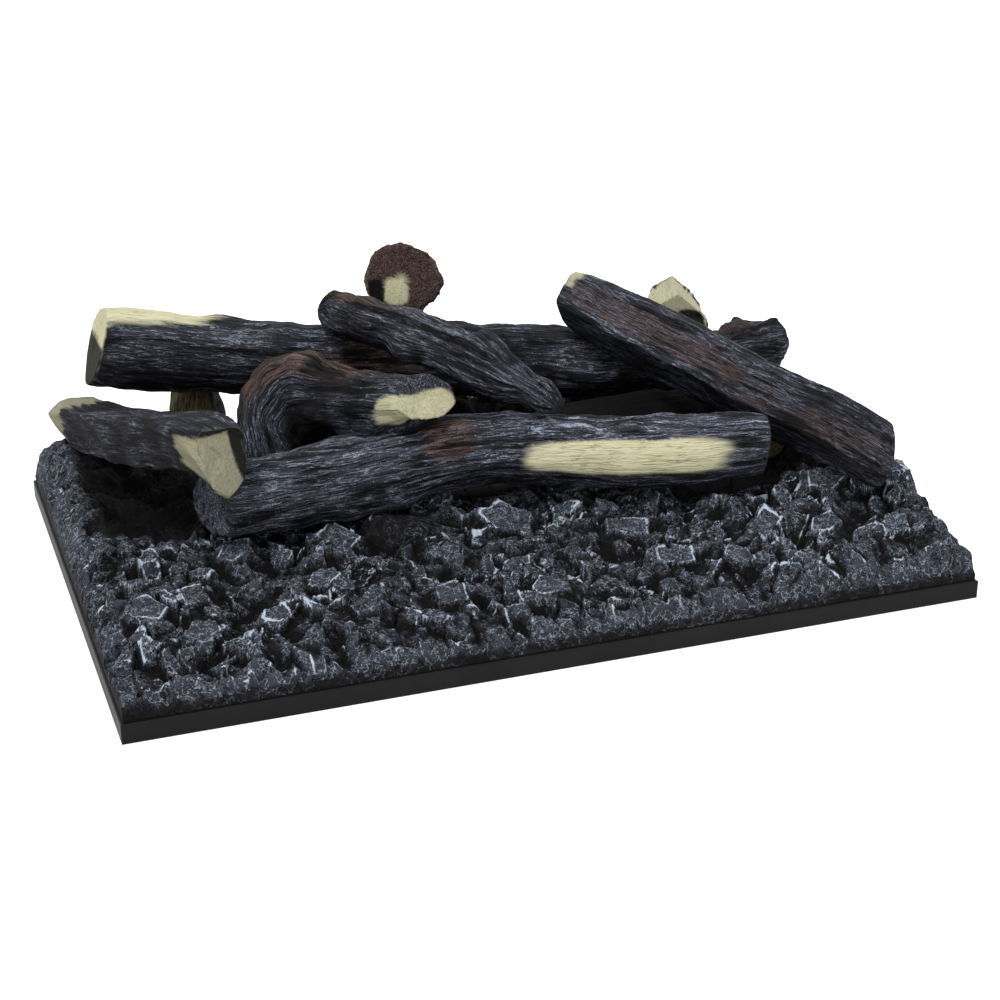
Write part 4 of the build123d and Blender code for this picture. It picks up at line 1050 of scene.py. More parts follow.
@dataclass(frozen=True)
class Grid:
    """Places on a level grid, x along the front and y to the back, over the box of the casting."""

    x: Array
    y: Array
    low: Vector
    high: Vector

    @property
    def step(self) -> float:
        """Distance from place to place."""
        return self.x[1, 0] - self.x[0, 0]

    @property
    def front(self) -> Array:
        """Distance of each place from the front edge."""
        return self.y - self.low[1]

    @property
    def sides(self) -> Array:
        """Distance of each place from the nearest of the other three edges."""
        return np.minimum.reduce([self.x - self.low[0], self.high[0] - self.x, self.high[1] - self.y])

    @property
    def edge(self) -> Array:
        """Distance of each place from the nearest edge."""
        return np.minimum(self.sides, self.front)

    def noise(self, size: float, seed: int, layers: int = 1) -> Array:
        """Noise of one grain size, or of some layers, at each place."""
        flat = np.stack([self.x, self.y, 0 * self.x], -1).reshape(-1, 3)
        return layered(flat / size, seed, layers).reshape(self.x.shape)


@dataclass(frozen=True)
class Rocks:
    """Rocks of one size and height, in metres, and the share of their rims that shows.

    The rest are shares of their size: how far the noise warps them and their middles stray, how they stretch
    and lean, how high they lie, and the groove round each. The rim reaches so many rim widths in from an edge.
    """

    size: float
    height: float
    rim_share: float
    warp: float = 0.14
    stray: float = 0.42
    stretch: float = 0.5
    lean: float = 1.3
    lift: float = 0.95
    lifted: Pair = (-0.1, 0.25)
    base: float = 0.5
    groove_depth: float = 0.6
    groove_width: float = 0.09
    rim_reach: float = 1.7
    rim_rise: float = 0.25

    def over(self, grid: Grid, rim_width: float, seed: int) -> tuple[Array, Array]:
        """Rocks as leaning facets with a groove round each, and the rims of the higher ones.

        Each place, moved a little by noise, takes the nearest of the jittered middles of the cells round it.
        Its height is that rock's lift plus its lean times the offset from its middle; the groove follows half
        the difference of the distances to the nearest and the second nearest middle, which is about the
        distance to the edge. The rim is 1 on an edge whose rock stands higher than the next one, and 0 past
        the rim width from it.

        Args:
            grid: The places.
            rim_width: Width of a rim.
            seed: Which rocks.

        Returns:
            Height, about -1 to 1, and the rim.
        """
        warp = self.warp * self.size * grid.noise(self.size / 2, seed + WARP_SEED)
        places = np.stack([grid.x + warp, grid.y - warp], -1) / self.size
        cell = np.floor(places).astype(np.int64)
        nearest, second = np.full(warp.shape, np.inf), np.full(warp.shape, np.inf)
        height, other = np.zeros(warp.shape), np.zeros(warp.shape)
        for shift in product((-1, 0, 1), repeat=2):
            owner = cell + np.array(shift)
            draws = [hashed(owner, seed + number) for number in range(6)]
            offset = places - (owner + 0.5 + self.stray * np.stack(draws[:2], -1))
            far = np.hypot(offset[..., 0] * (1 + self.stretch * draws[5]), offset[..., 1])
            lean = self.lean * (draws[2] * offset[..., 0] + draws[3] * offset[..., 1])
            own = self.lift * eased(*self.lifted, draws[4]) - self.base + lean
            closer, next_closer = far < nearest, (far >= nearest) & (far < second)
            other = np.where(closer, height, np.where(next_closer, own, other))
            second = np.where(closer, nearest, np.where(next_closer, far, second))
            height = np.where(closer, own, height)
            nearest = np.where(closer, far, nearest)
        gap = (second - nearest) / 2
        rim = np.clip(self.rim_reach - gap * self.size / rim_width, 0, 1)
        rim = rim * eased(0.0, self.rim_rise, height - other)
        return height - self.groove_depth * eased(self.groove_width, 0.0, gap) * (height <= other), rim


@dataclass(frozen=True)
class Dome:
    """The smooth stone under the front log, darkened by painted shade, and the thin pale arc at the back of
    its top.

    The arc's step and middle are shares of the way out, and its fade is a share of the half size to the back.
    """

    place: Pair = (-86 * MM, -60 * MM)
    half: Pair = (30 * MM, 26 * MM)
    height: float = 19 * MM
    sunk: float = 0.35
    foot: float = 6 * MM
    power: int = 4
    arc_at: float = 0.74
    arc_step: Pair = (0.055, 0.025)
    arc_fade: Pair = (-0.3, 0.3)

    def over(self, grid: Grid, top: Array) -> tuple[Array, ...]:
        """The heights with the stone, a cushion, in them.

        It is the fourth root of one less the fourth power of the distance from its middle over its half
        sizes, on a foot that smooths the casting.

        Args:
            grid: The places.
            top: Heights of the casting.

        Returns:
            The heights, how much each place is stone, and its arc.
        """
        behind = (grid.y - self.place[1]) / self.half[1]
        far = np.hypot((grid.x - self.place[0]) / self.half[0], behind)
        foot = blurred(top, round(self.foot / grid.step))
        cushion = np.maximum(1 - far**self.power, 0) ** (1 / self.power)
        stone = foot + self.height * cushion - self.sunk * self.height
        arc = eased(*self.arc_step, np.abs(far - self.arc_at)) * eased(*self.arc_fade, behind)
        return np.where(far < 1, stone, top), (far < 1).astype(float), arc * (far < 1)


@dataclass(frozen=True)
class Brushing:
    """How the bed is painted: rims brushed pale, painted shade in low places and on the sunk floor, and dust
    on what stands up.

    Pairs are the two ends of a smooth step, as distances from an edge or the crest line unless they say more.
    """

    sunk_behind: Pair = (0.0, 12 * MM)
    sunk_sides: Pair = (20 * MM, 34 * MM)
    worn_size: float = 22 * MM
    worn: float = 0.5
    crest_edge: Pair = (1.2 * MM, 3 * MM)
    crest_sides: Pair = (4 * MM, 8 * MM)
    crest_sunk: float = 0.8
    steep_steps: Pair = (1.2, 3.0)
    steep_least: float = 0.4
    steep_sides: Pair = (30 * MM, 18 * MM)
    mean_over: float = 8 * MM
    low_depth: float = 2.2 * MM
    low_edge: Pair = (2 * MM, 14 * MM)
    steep_edge: Pair = (3 * MM, 14 * MM)
    # Strengths of the painted shade, and of the darker band.
    stone_and_steep_shade: float = 0.45
    band_darkness: float = 0.62
    band_edge: Pair = (2.2 * MM, 0.5 * MM)
    low_shade: float = 0.95
    sunk_shade: float = 0.85
    chunk_dust: float = 0.9
    high_dust: float = 3 * MM
    lip_dust: float = 0.7
    lip_edge: Pair = (1 * MM, 3 * MM)
    wall_dust: float = 0.2


@dataclass
class EmberBed:
    """The cast ember bed: a height over a grid, with rocks of several sizes, and walls at its edges.

    Pairs are the two ends of a smooth step, as distances from an edge unless they say more. The crest line is
    given as shares of the tray.
    """

    node: str = "ember_bed"
    tray: Pair = (680 * MM, 489 * MM)
    front_step: float = 1.0 * MM
    rear_step: float = 2.4 * MM
    front_to: float = 8 * MM
    strip: float = 128 * MM
    sampled_from: float = 1.0
    sampled_inset: float = 0.2 * MM
    whole_from: float = 0.999
    rocks: tuple[Rocks, ...] = (Rocks(16 * MM, 5.5 * MM, 0.95), Rocks(8 * MM, 1.3 * MM, 0.6))
    rocks_front: Pair = (4 * MM, 32 * MM)
    rocks_sides: Pair = (0.0, 12 * MM)
    rocks_least: Pair = (0.2, 0.5)
    dome: Dome = Dome()
    brushing: Brushing = Brushing()
    grit_size: float = 4.0 * MM
    grit_height: float = 0.3 * MM
    band_height: float = 5.5 * MM
    band_fade: Pair = (0.0, 3 * MM)
    seam: float = 1.6 * MM
    front_slope: float = 2.4
    side_slope: float = 5.0
    flute_pitch: float = 6 * MM
    flute_length: float = 5.0
    flute_height: float = 3.6 * MM
    flute_edge: Pair = (32 * MM, 12 * MM)
    flute_levels: Pair = (0.7, 0.8)
    flute_rim: Pair = (0.76, 0.98)
    flute_hides: float = 0.6
    crest_x: tuple[float, ...] = (-0.50, -0.35, -0.05, 0.14, 0.25, 0.42, 0.50)
    crest_y: tuple[float, ...] = (-0.01, -0.05, -0.02, -0.06, -0.17, -0.215, -0.235)
    chunk_size: float = 30 * MM
    chunk_slope: float = 2.0
    chunk_lift: float = 1.5 * MM
    chunk_foot: float = 0.7
    chunk_step: Pair = (0.12, -0.05)
    chunk_rim: Pair = (1.5, 0.04)
    chunk_cover: float = 0.8
    rim_width: float = 1.15 * MM
    right_steepness: float = 3.0
    right_rise: float = 11 * MM
    right_rise_from: Pair = (-252 * MM, -232 * MM)
    right_rise_to: Pair = (120 * MM, 80 * MM)
    right_rise_edge: Pair = (44 * MM, 16 * MM)
    rear_rise: float = 7 * MM
    rear_rise_x: float = 20 * MM
    rear_rise_width: Pair = (150 * MM, 90 * MM)
    rear_rise_middle: float = 34 * MM
    rear_rise_edge: Pair = (26 * MM, 18 * MM)
    seed: int = 41
    chunks: tuple[Chunk, ...] = (
        Chunk((-0.459, -0.027), (1.1, 0.8), 70, (0.1, 0.3)),
        Chunk((-0.442, -0.273), (1.15, 0.9), -35, (-0.1, 0.25)),
        Chunk((-0.419, -0.100), (0.7, 0.6), 20, (0.2, 0.2), 4),
        Chunk((-0.394, -0.364), (0.95, 0.9), 5, (0.05, 0.3)),
        Chunk((-0.388, -0.254), (0.9, 0.85), 10, (0.0, 0.3), 4),
        Chunk((-0.323, -0.264), (0.75, 0.6), 15, (0.1, 0.4), 4),
        Chunk((-0.322, -0.125), (1.0, 0.85), 0, (0.3, 0.2)),
        Chunk((-0.311, -0.340), (0.9, 0.6), 25, (0.0, 0.4)),
        Chunk((-0.242, -0.257), (0.8, 0.9), 80, (0.2, -0.3)),
        Chunk((-0.201, -0.135), (1.5, 0.85), -50, (-0.15, 0.3), 4),
        Chunk((-0.119, -0.366), (1.05, 0.8), -5, (0.05, 0.35), 4),
        Chunk((-0.093, -0.235), (0.85, 0.7), 30, (0.25, 0.2), 4),
        Chunk((-0.026, -0.307), (0.8, 0.8), 55, (0.1, -0.3)),
        Chunk((-0.014, -0.399), (0.9, 0.8), 15, (0.1, 0.2), 6),
        Chunk((0.001, -0.160), (1.6, 1.1), -25, (-0.15, 0.35)),
        Chunk((0.130, -0.245), (1.6, 0.8), -20, (-0.1, 0.3), 4),
        Chunk((0.156, -0.355), (1.4, 0.7), -8, (0.0, 0.35), 4),
        Chunk((0.225, -0.390), (0.8, 0.9), 70, (0.2, 0.3)),
        Chunk((0.280, -0.330), (1.4, 0.8), 35, (0.25, 0.3), 4),
        Chunk((0.349, -0.361), (1.0, 0.75), 10, (0.2, 0.2)),
        Chunk((0.395, -0.246), (1.4, 1.0), 20, (0.1, 0.2)),
        Chunk((0.423, -0.412), (0.85, 0.8), -15, (0.1, 0.3), 4),
        Chunk((0.472, -0.300), (0.8, 0.7), 80, (0.2, 0.2)),
    )

    def sampled(self, grid: Grid, solid: Object) -> tuple[Array, Array]:
        """Height of the CAD casting under each place, by wrapping a flat grid down on it.

        Args:
            grid: The places.
            solid: The CAD node's object.

        Returns:
            Heights, and where the casting was hit.
        """
        x = np.clip(grid.x, grid.low[0] + self.sampled_inset, grid.high[0] - self.sampled_inset)
        y = np.clip(grid.y, grid.low[1] + self.sampled_inset, grid.high[1] - self.sampled_inset)
        points = np.stack([x, y, np.full(x.shape, self.sampled_from)], -1)
        mesh = bpy.data.meshes.new("sampling")
        mesh.from_pydata(points.reshape(-1, 3).tolist(), [], [])
        sheet = linked("sampling", mesh)
        wrap = sheet.modifiers.new("wrap", "SHRINKWRAP")
        wrap.target = solid
        wrap.wrap_method = "PROJECT"
        wrap.use_project_z = True
        wrap.use_positive_direction = False
        wrap.use_negative_direction = True
        shape = sheet.evaluated_get(bpy.context.evaluated_depsgraph_get()).to_mesh()
        found = np.empty(len(shape.vertices) * 3)
        shape.vertices.foreach_get("co", found)
        sheet.to_mesh_clear()
        bpy.data.objects.remove(sheet)
        heights = found.reshape(-1, 3)[:, 2].reshape(x.shape)
        return heights, heights < self.sampled_from / 2

    def with_chunks(self, grid: Grid, top: Array) -> tuple[Array, ...]:
        """The heights with the chunks' crisp tops over them.

        A chunk's top is a leaning plane through the casting's height at its middle. Outside its outline, an
        even polygon stretched to its half sizes, it falls steeply.

        Args:
            grid: The places.
            top: Heights of the casting.

        Returns:
            The heights, how much each place is chunk, and the chunks' rims.
        """
        inside, rim, start = np.zeros(top.shape), np.zeros(top.shape), top
        reach, shift = self.chunk_rim
        for chunk in self.chunks:
            middle = np.array(chunk.place) * self.tray
            x, y = grid.x - middle[0], grid.y - middle[1]
            at = np.abs(x[:, 0]).argmin(), np.abs(y[0]).argmin()
            turn = math.radians(chunk.heading)
            along, across = x * math.cos(turn) + y * math.sin(turn), y * math.cos(turn) - x * math.sin(turn)
            half = np.array(chunk.size) * self.chunk_size / 2
            angles = np.arange(chunk.sides) * 2 * np.pi / chunk.sides
            outline = [along / half[0] * math.cos(a) + across / half[1] * math.sin(a) for a in angles]
            outside = np.max(outline, axis=0) / math.cos(math.pi / chunk.sides) - 1
            plane = start[at] + self.chunk_lift + chunk.lean[0] * along + chunk.lean[1] * across
            plane -= self.chunk_slope * half[1] * np.maximum(outside, 0)
            shown = (outside < self.chunk_foot) & (plane > top)
            inside = np.where(shown, eased(*self.chunk_step, outside), inside)
            own_rim = np.clip(reach - np.abs(outside + shift) * half[1] / self.rim_width, 0, 1)
            rim = np.where(shown, own_rim, rim)
            top = np.where(shown, plane, top)
        return top, inside, rim

    def rises(self, grid: Grid) -> tuple[Array, ...]:
        """How much higher than the CAD the skin's rear rim and right rim stand.

        Args:
            grid: The places.

        Returns:
            The rise of each rim.
        """
        behind = self.rear_rise * eased(*self.rear_rise_width, np.abs(grid.x - self.rear_rise_x))
        behind = behind * eased(*self.rear_rise_edge, np.abs(grid.high[1] - self.rear_rise_middle - grid.y))
        beside = eased(*self.right_rise_edge, grid.high[0] - grid.x) * eased(*self.right_rise_from, grid.y)
        return behind, self.right_rise * beside * eased(*self.right_rise_to, grid.y)

    def flutes(self, grid: Grid) -> Array:
        """Ridges that run in from the nearest edge.

        Args:
            grid: The places.

        Returns:
            Their heights, from -1 to 1.
        """
        beside = np.minimum(grid.x - grid.low[0], grid.high[0] - grid.x) < grid.front
        run = np.where(beside, grid.y, grid.x) / self.flute_pitch
        inwards = grid.edge / (self.flute_length * self.flute_pitch)
        ridges = noise(np.stack([run, inwards, 0 * run], -1).reshape(-1, 3), self.seed + FLUTE_SEED)
        return 1 - 2 * np.abs(ridges).reshape(grid.x.shape)

    def surface(self, grid: Grid, solid: Object) -> tuple[Array, Array, dict[str, Array]]:
        """Heights of the rocky skin, with where the casting is and what the finish reads.

        The CAD casting's height, a little smoothed, gets its chunks, raised rims, rocks of each size, flutes
        near the outer edges, grit, and the smooth stone. At the edges it is held under a steep lip, which
        stands on a plain band.

        Args:
            grid: The places.
            solid: The CAD node's object.

        Returns:
            Heights, where the casting is, and the masks by name.
        """
        heights, hit = self.sampled(grid, solid)
        filled = np.where(hit, heights, grid.low[2])
        whole = blurred(hit.astype(float), 1) > self.whole_from
        top, chunky, rim = self.with_chunks(grid, np.where(whole, blurred(filled, 1), filled))
        for rise in self.rises(grid):
            top = top + rise * hit
        front, sides = self.rocks_least
        held = front + (1 - front) * eased(*self.rocks_front, grid.front)
        held = held * (sides + (1 - sides) * eased(*self.rocks_sides, grid.sides))
        for rocks in self.rocks:
            rock, own_rim = rocks.over(grid, self.rim_width, self.seed)
            top = top + rocks.height * rock * held * (1 - self.chunk_cover * chunky)
            rim = np.maximum(rim, own_rim * rocks.rim_share * (1 - self.chunk_cover * chunky))
        flute, near = self.flutes(grid), eased(*self.flute_edge, grid.edge)
        level, lip_level = self.flute_levels
        top = top + self.flute_height * (flute - level) * near
        right = (grid.high[0] - grid.x) * self.right_steepness
        walls = np.minimum.reduce([grid.x - grid.low[0], right, grid.high[1] - grid.y])
        lip = np.minimum(self.front_slope * grid.front, self.side_slope * walls)
        lip = grid.low[2] + self.band_height + lip
        lip = lip + self.flute_height * (flute - lip_level) * eased(*self.band_fade, grid.edge)
        grit = self.grit_height * grid.noise(self.grit_size, self.seed + GRIT_SEED, 2)
        top = np.minimum(top, lip) + grit * eased(*self.band_fade, grid.edge)
        rim = np.maximum(rim * (1 - self.flute_hides * near), eased(*self.flute_rim, flute) * near)
        top, domed, arc = self.dome.over(grid, top)
        rim = np.maximum(rim * (1 - domed), arc)
        return top, hit, self.painted(grid, top, rim, near, chunky, domed)

    def painted(
        self, grid: Grid, top: Array, rim: Array, near: Array, chunky: Array, domed: Array
    ) -> dict[str, Array]:
        """What the finish reads: crest, painted shade and dust.

        The crest follows the rims of rocks and flutes, less so on steep walls and behind the crest line. The
        painted shade darkens what lies under its own mean, the steep places, the stone and the sunk floor
        behind the crest line; the plain band at the edges darkens with it. Dust lies on chunks and on what
        stands over its own mean.

        Args:
            grid: The places.
            top: The finished heights.
            rim: The rims, from 0 to 1.
            near: How much each place is in the fluted lip.
            chunky: How much it is chunk.
            domed: How much it is the smooth stone.

        Returns:
            The masks by name.
        """
        paint, edge = self.brushing, grid.edge
        line = self.tray[1] * np.interp(grid.x / self.tray[0], self.crest_x, self.crest_y)
        # The sunk floor behind the crest line: painted shade, with less crest and dust there.
        sunk = eased(*paint.sunk_behind, grid.y - line) * eased(*paint.sunk_sides, grid.sides)
        padded = np.pad(top, 1, mode="edge")
        lowest = np.minimum.reduce([padded[:-2, 1:-1], padded[2:, 1:-1], padded[1:-1, :-2], padded[1:-1, 2:]])
        steep = eased(*(share * grid.step for share in paint.steep_steps), top - lowest)
        crest = rim * (1 + paint.worn * grid.noise(paint.worn_size, self.seed + RUBBED_SEED))
        crest = crest * eased(*paint.crest_edge, edge) * eased(*paint.crest_sides, grid.sides)
        crest = crest * (1 - paint.crest_sunk * sunk)
        crest = crest * (1 - steep * np.maximum(paint.steep_least, eased(*paint.steep_sides, grid.sides)))
        # Painted shade under the mean, on steep places, on the stone and on the sunk floor; the band at the
        # edges darkens with it.
        mean = blurred(top, round(paint.mean_over / grid.step))
        lower = np.clip((mean - top) / paint.low_depth, 0, 1) * eased(*paint.low_edge, edge)
        steep = paint.stone_and_steep_shade * steep * eased(*paint.steep_edge, edge)
        band = paint.band_darkness * eased(*paint.band_edge, edge)
        lower = paint.low_shade * np.maximum.reduce([lower, paint.stone_and_steep_shade * domed, steep, band])
        dust = np.maximum(paint.chunk_dust * chunky, np.clip((top - mean) / paint.high_dust, 0, 1))
        lip = paint.lip_dust * near * eased(*paint.lip_edge, edge)
        wall = paint.wall_dust * (edge < paint.lip_edge[0])
        dust = np.maximum.reduce([dust * (1 - sunk) * (1 - domed), lip, wall])
        return {"crest": crest, "painted_shade": np.maximum(lower, paint.sunk_shade * sunk), "dust": dust}

    def built(
        self, parts: dict[str, float], low_y: float, step: float, solid: Object
    ) -> list[Object]:
        """The skin from a line backwards, in strips that share one surface.

        Args:
            parts: What each strip is called, and its back line.
            low_y: The front line of the first one.
            step: Distance from point to point.
            solid: The CAD node's object.

        Returns:
            The strips.
        """
        low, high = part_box(self.node)
        high_y = max(parts.values())
        columns, rows = round((high[0] - low[0]) / step) + 1, round((high_y - low_y) / step) + 1
        lines = np.linspace(low[0], high[0], columns), np.linspace(low_y, high_y, rows)
        x, y = np.meshgrid(*lines, indexing="ij")
        top, hit, painted = self.surface(Grid(x, y, low, high), solid)
        points = np.stack([x, y, np.where(hit, top, low[2])], -1)
        made, first = [], 0
        for part, back in parts.items():
            last = round((back - low_y) / (high_y - low_y) * (rows - 1))
            strip = np.s_[:, first : last + 1]
            own = {name: mask[strip] for name, mask in painted.items()}
            made.append(self.skin(part, points[strip], hit[strip], own))
            first = last
        return made

    def skin(self, part: str, grid: Array, hit: Array, painted: dict[str, Array]) -> Object:
        """A grid of points as a skin with walls down to the tray from every edge, in two steps.

        The upper step ends at the seam height, and the foot of the lower one gets painted shade.

        Args:
            part: What the piece is called.
            grid: Its points, and where no casting is, points that get no faces.
            hit: Where the casting is.
            painted: The masks by name.

        Returns:
            The piece.
        """
        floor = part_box(self.node)[0][2]
        points, count = grid.reshape(-1, 3), hit.size
        number = np.arange(count).reshape(hit.shape)
        corners = np.stack([number[:-1, :-1], number[1:, :-1], number[1:, 1:], number[:-1, 1:]], -1)
        whole = hit[:-1, :-1] & hit[1:, :-1] & hit[1:, 1:] & hit[:-1, 1:]
        faces = corners[whole]
        sides = np.concatenate([faces[:, [i, (i + 1) % 4]] for i in range(4)])
        key = sides[:, 0] * count + sides[:, 1]
        rim = sides[~np.isin(key, sides[:, 1] * count + sides[:, 0])]
        foot = points.copy()
        foot[:, 2] = floor
        sill = foot.copy()
        sill[:, 2] = np.minimum(points[:, 2], floor + self.seam)
        walls = np.column_stack([rim[:, 1], rim[:, 0], rim[:, 0] + count, rim[:, 1] + count])
        points = np.concatenate([points, sill, foot])
        used, faces = np.unique(np.concatenate([faces, walls, walls + count]), return_inverse=True)
        masks = {tone.value: np.zeros(len(used)) for tone in Tone}
        for name, mask in painted.items():
            masks[name] = np.concatenate([mask.ravel(), mask.ravel(), np.zeros(count)])[used]
        # Painted shade at the foot of the walls, where the bed meets the tray.
        masks["painted_shade"] = np.maximum(masks["painted_shade"], used >= 2 * count)
        masks["grain"] = points[used]
        return new_piece(part, points[used], faces.reshape(-1, 4), masks)

    def pieces(self, solid: Object) -> list[Object]:
        """The fine front of the skin, and its coarser rear.

        Args:
            solid: The CAD node's object.

        Returns:
            The three strips.
        """
        low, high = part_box(self.node)
        front = {"ember_bed_front": low[1] + self.strip, "ember_bed_middle": self.front_to}
        rear = {"ember_bed_rear": high[1]}
        return [
            *self.built(front, low[1], self.front_step, solid),
            *self.built(rear, self.front_to, self.rear_step, solid),
        ]


@dataclass
class LogStack:
    """The twelve cast logs and their finish."""

    finish: CastFinish = CastFinish("charred_log")
    logs: tuple[CastLog, ...] = (
        CastLog(
            "front_log", 1,
            patches=(
                Patch(Tone.PALE, (0.75, 0.185), (10, 31), fade=0.16, ragged=0.06, power=5.0, cut=False),
                Patch(Tone.BROWN, (0.44, 0.06), (55, 42), fade=0.3),
            ),
            swellings=(Swelling((0.445, 0.07), (70, 45), 4 * MM),),
            bark_depth=1.8 * MM, bark_pitch=5 * MM, rough_start=True, dust=0.5, start_lean=(0.0, 0.1),
        ),
        CastLog(
            "left_split_log", 2,
            patches=(
                Patch(Tone.PALE, (0.0, 0.1), (60, 180), fade=0.1),
                Patch(Tone.PALE, (1.0, 0.15), (0, 46), fade=0.1, ragged=0.1, power=3.0),
            ),
            spots=(
                Spot(Tone.CHAR, True, (-0.9, 0.3), (0.55, 1.2)),
                Spot(Tone.CHAR, True, (0.0, 0.95), (1.4, 0.35)),
            ),
            flats=(Flat(95, 0.72), Flat(-20, 0.85)), start_tone=Tone.PALE, end_tone=Tone.PALE, end_reach=0.25,
            bark_depth=1.3 * MM, bark_pitch=4 * MM, lump_depth=1.4 * MM, crease_angle=30, dust=0.0,
            paleness=0.45, worn_share=0.7,
        ),
        CastLog(
            "rear_log", 3,
            patches=(
                Patch(Tone.PALE, (0.0, 0.21), (100, 56), fade=0.2, ragged=0.12),
                Patch(Tone.BROWN, (0.45, 0.12), (10, 50), fade=0.6),
            ),
            spots=(Spot(Tone.CHAR, False, (0.0, -0.8), (2.5, 1.0)),),
            start_tone=Tone.PALE, start_lean=(0.24, 0.0), bark_depth=1.6 * MM, bark_pitch=4 * MM,
            worn_share=0.85,
        ),
        CastLog(
            "crooked_log", 4,
            patches=(
                Patch(Tone.PALE, (0.94, 0.13), (-8, 36), fade=0.12, ragged=0.1, power=3.0),
                Patch(Tone.BROWN, (0.48, 0.26), (95, 55), fade=0.3),
                Patch(Tone.CHAR, (0.42, 0.3), (-35, 55), fade=0.7, ragged=0.3, power=2.0, cut=False),
            ),
            spots=(Spot(Tone.PALE, True, (0.1, -0.3), (0.9, 0.5)),),
            swellings=(Swelling((0.75, 0.24), (-80, 65), 9 * MM), Swelling((0.46, 0.08), (75, 45), 5 * MM)),
            bark_depth=3.2 * MM, bark_pitch=8 * MM, lump_depth=4 * MM, dust=0.1, paleness=0.8, worn_share=0.7,
            path=(
                (-0.171, 0.074, 0.042), (-0.158, 0.086, 0.075), (-0.145, 0.09, 0.1), (-0.123, 0.076, 0.122),
                (-0.091, 0.02, 0.134), (-0.05, -0.045, 0.151),
            ),
        ),
        CastLog(
            "branch_log", 5,
            patches=(Patch(Tone.BROWN, (0.15, 0.25), (80, 50), fade=0.5),),
            flats=(Flat(100, 0.8, (-0.1, 0.6)),), bark_depth=3.6 * MM, bark_pitch=8 * MM, bark_run=60 * MM,
            lump_depth=5 * MM, taper=0.4, worn_share=0.75,
        ),
        CastLog(
            "round_end_log", 6,
            patches=(Patch(Tone.BROWN, (0.9, 0.7), (60, 180), fade=0.2),),
            spots=(
                Spot(Tone.PALE, True, (0.15, -0.3), (0.34, 0.38)),
                Spot(Tone.CHAR, True, (0.75, -0.35), (0.26, 0.4)),
            ),
            end_tone=Tone.BROWN, dust=0.0, paleness=0.9, worn_share=0.6,
        ),
        CastLog(
            "crossing_log", 7,
            patches=(
                Patch(Tone.BROWN, (0.3, 0.3), (48, 40), fade=0.3, ragged=0.2, power=3.0, strength=0.6),
                Patch(Tone.BROWN, (0.8, 0.3), (20, 60), fade=0.9, ragged=0.5, strength=0.5),
                Patch(Tone.PALE, (0.0, 0.045), (90, 60), fade=0.3),
            ),
            flats=(Flat(48, 0.73), Flat(-35, 0.78)), swellings=(Swelling((0.62, 0.08), (60, 40), 3 * MM),),
            bark_depth=1.0 * MM, bark_pitch=4 * MM, lump_depth=1.3 * MM, crease_angle=36, dust=0.3,
            paleness=0.7, worn_share=0.7,
        ),
        CastLog(
            "rear_right_log", 8,
            patches=(Patch(Tone.PALE, (0.7, 0.9), (80, 120), fade=0.1),),
            spots=(Spot(Tone.CHAR, True, (-0.55, -0.35), (0.6, 0.6)),), flats=(Flat(60, 0.7), Flat(130, 0.7)),
            end_tone=Tone.PALE, paleness=0.75,
        ),
        CastLog(
            "small_rear_log", 9,
            patches=(Patch(Tone.BROWN, (0.45, 0.5), (95, 45), fade=0.6, strength=0.5),),
            lump_depth=6 * MM, lump_size=18 * MM, dust=0.1, worn_share=0.7,
        ),
        CastLog(
            "low_right_log", 10,
            patches=(Patch(Tone.OLIVE, (0.7, 0.6), (10, 130), fade=0.3),),
            smoothness=0.4, end_tone=Tone.OLIVE,
        ),
        CastLog(
            "back_left_log", 11,
            patches=(Patch(Tone.OLIVE, (0.5, 0.6), (60, 90), fade=0.4),), smoothness=0.3,
        ),
        CastLog(
            "low_centre_log", 12,
            patches=(Patch(Tone.CHAR, (0.5, 0.9), (90, 180), fade=0.1),), smoothness=0.7, dust=0.0,
        ),
    )

    def build(self, nodes: dict[str, Object], bodies: dict[str, str]) -> None:
        """Carves every log and dresses it.

        Args:
            nodes: The CAD nodes' objects.
            bodies: The body that each node rides on.
        """
        material = self.finish.material()
        for log in self.logs:
            piece = log.build(nodes[log.node])
            dress(piece, log.node, bodies[log.node], material)


def dress(piece: Object, node: str, body: str, material: bpy.types.Material) -> None:
    """Gives a piece its material and says what it rides on and stands for.

    Args:
        piece: The new piece.
        node: The CAD node that it replaces.
        body: The body that it rides on.
        material: Its finish.
    """
    piece.data.materials.append(material)
    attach(piece, body)
    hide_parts(node)
    LOG.info("%s: %d points, for %s on %s", piece.name, len(piece.data.vertices), node, body)


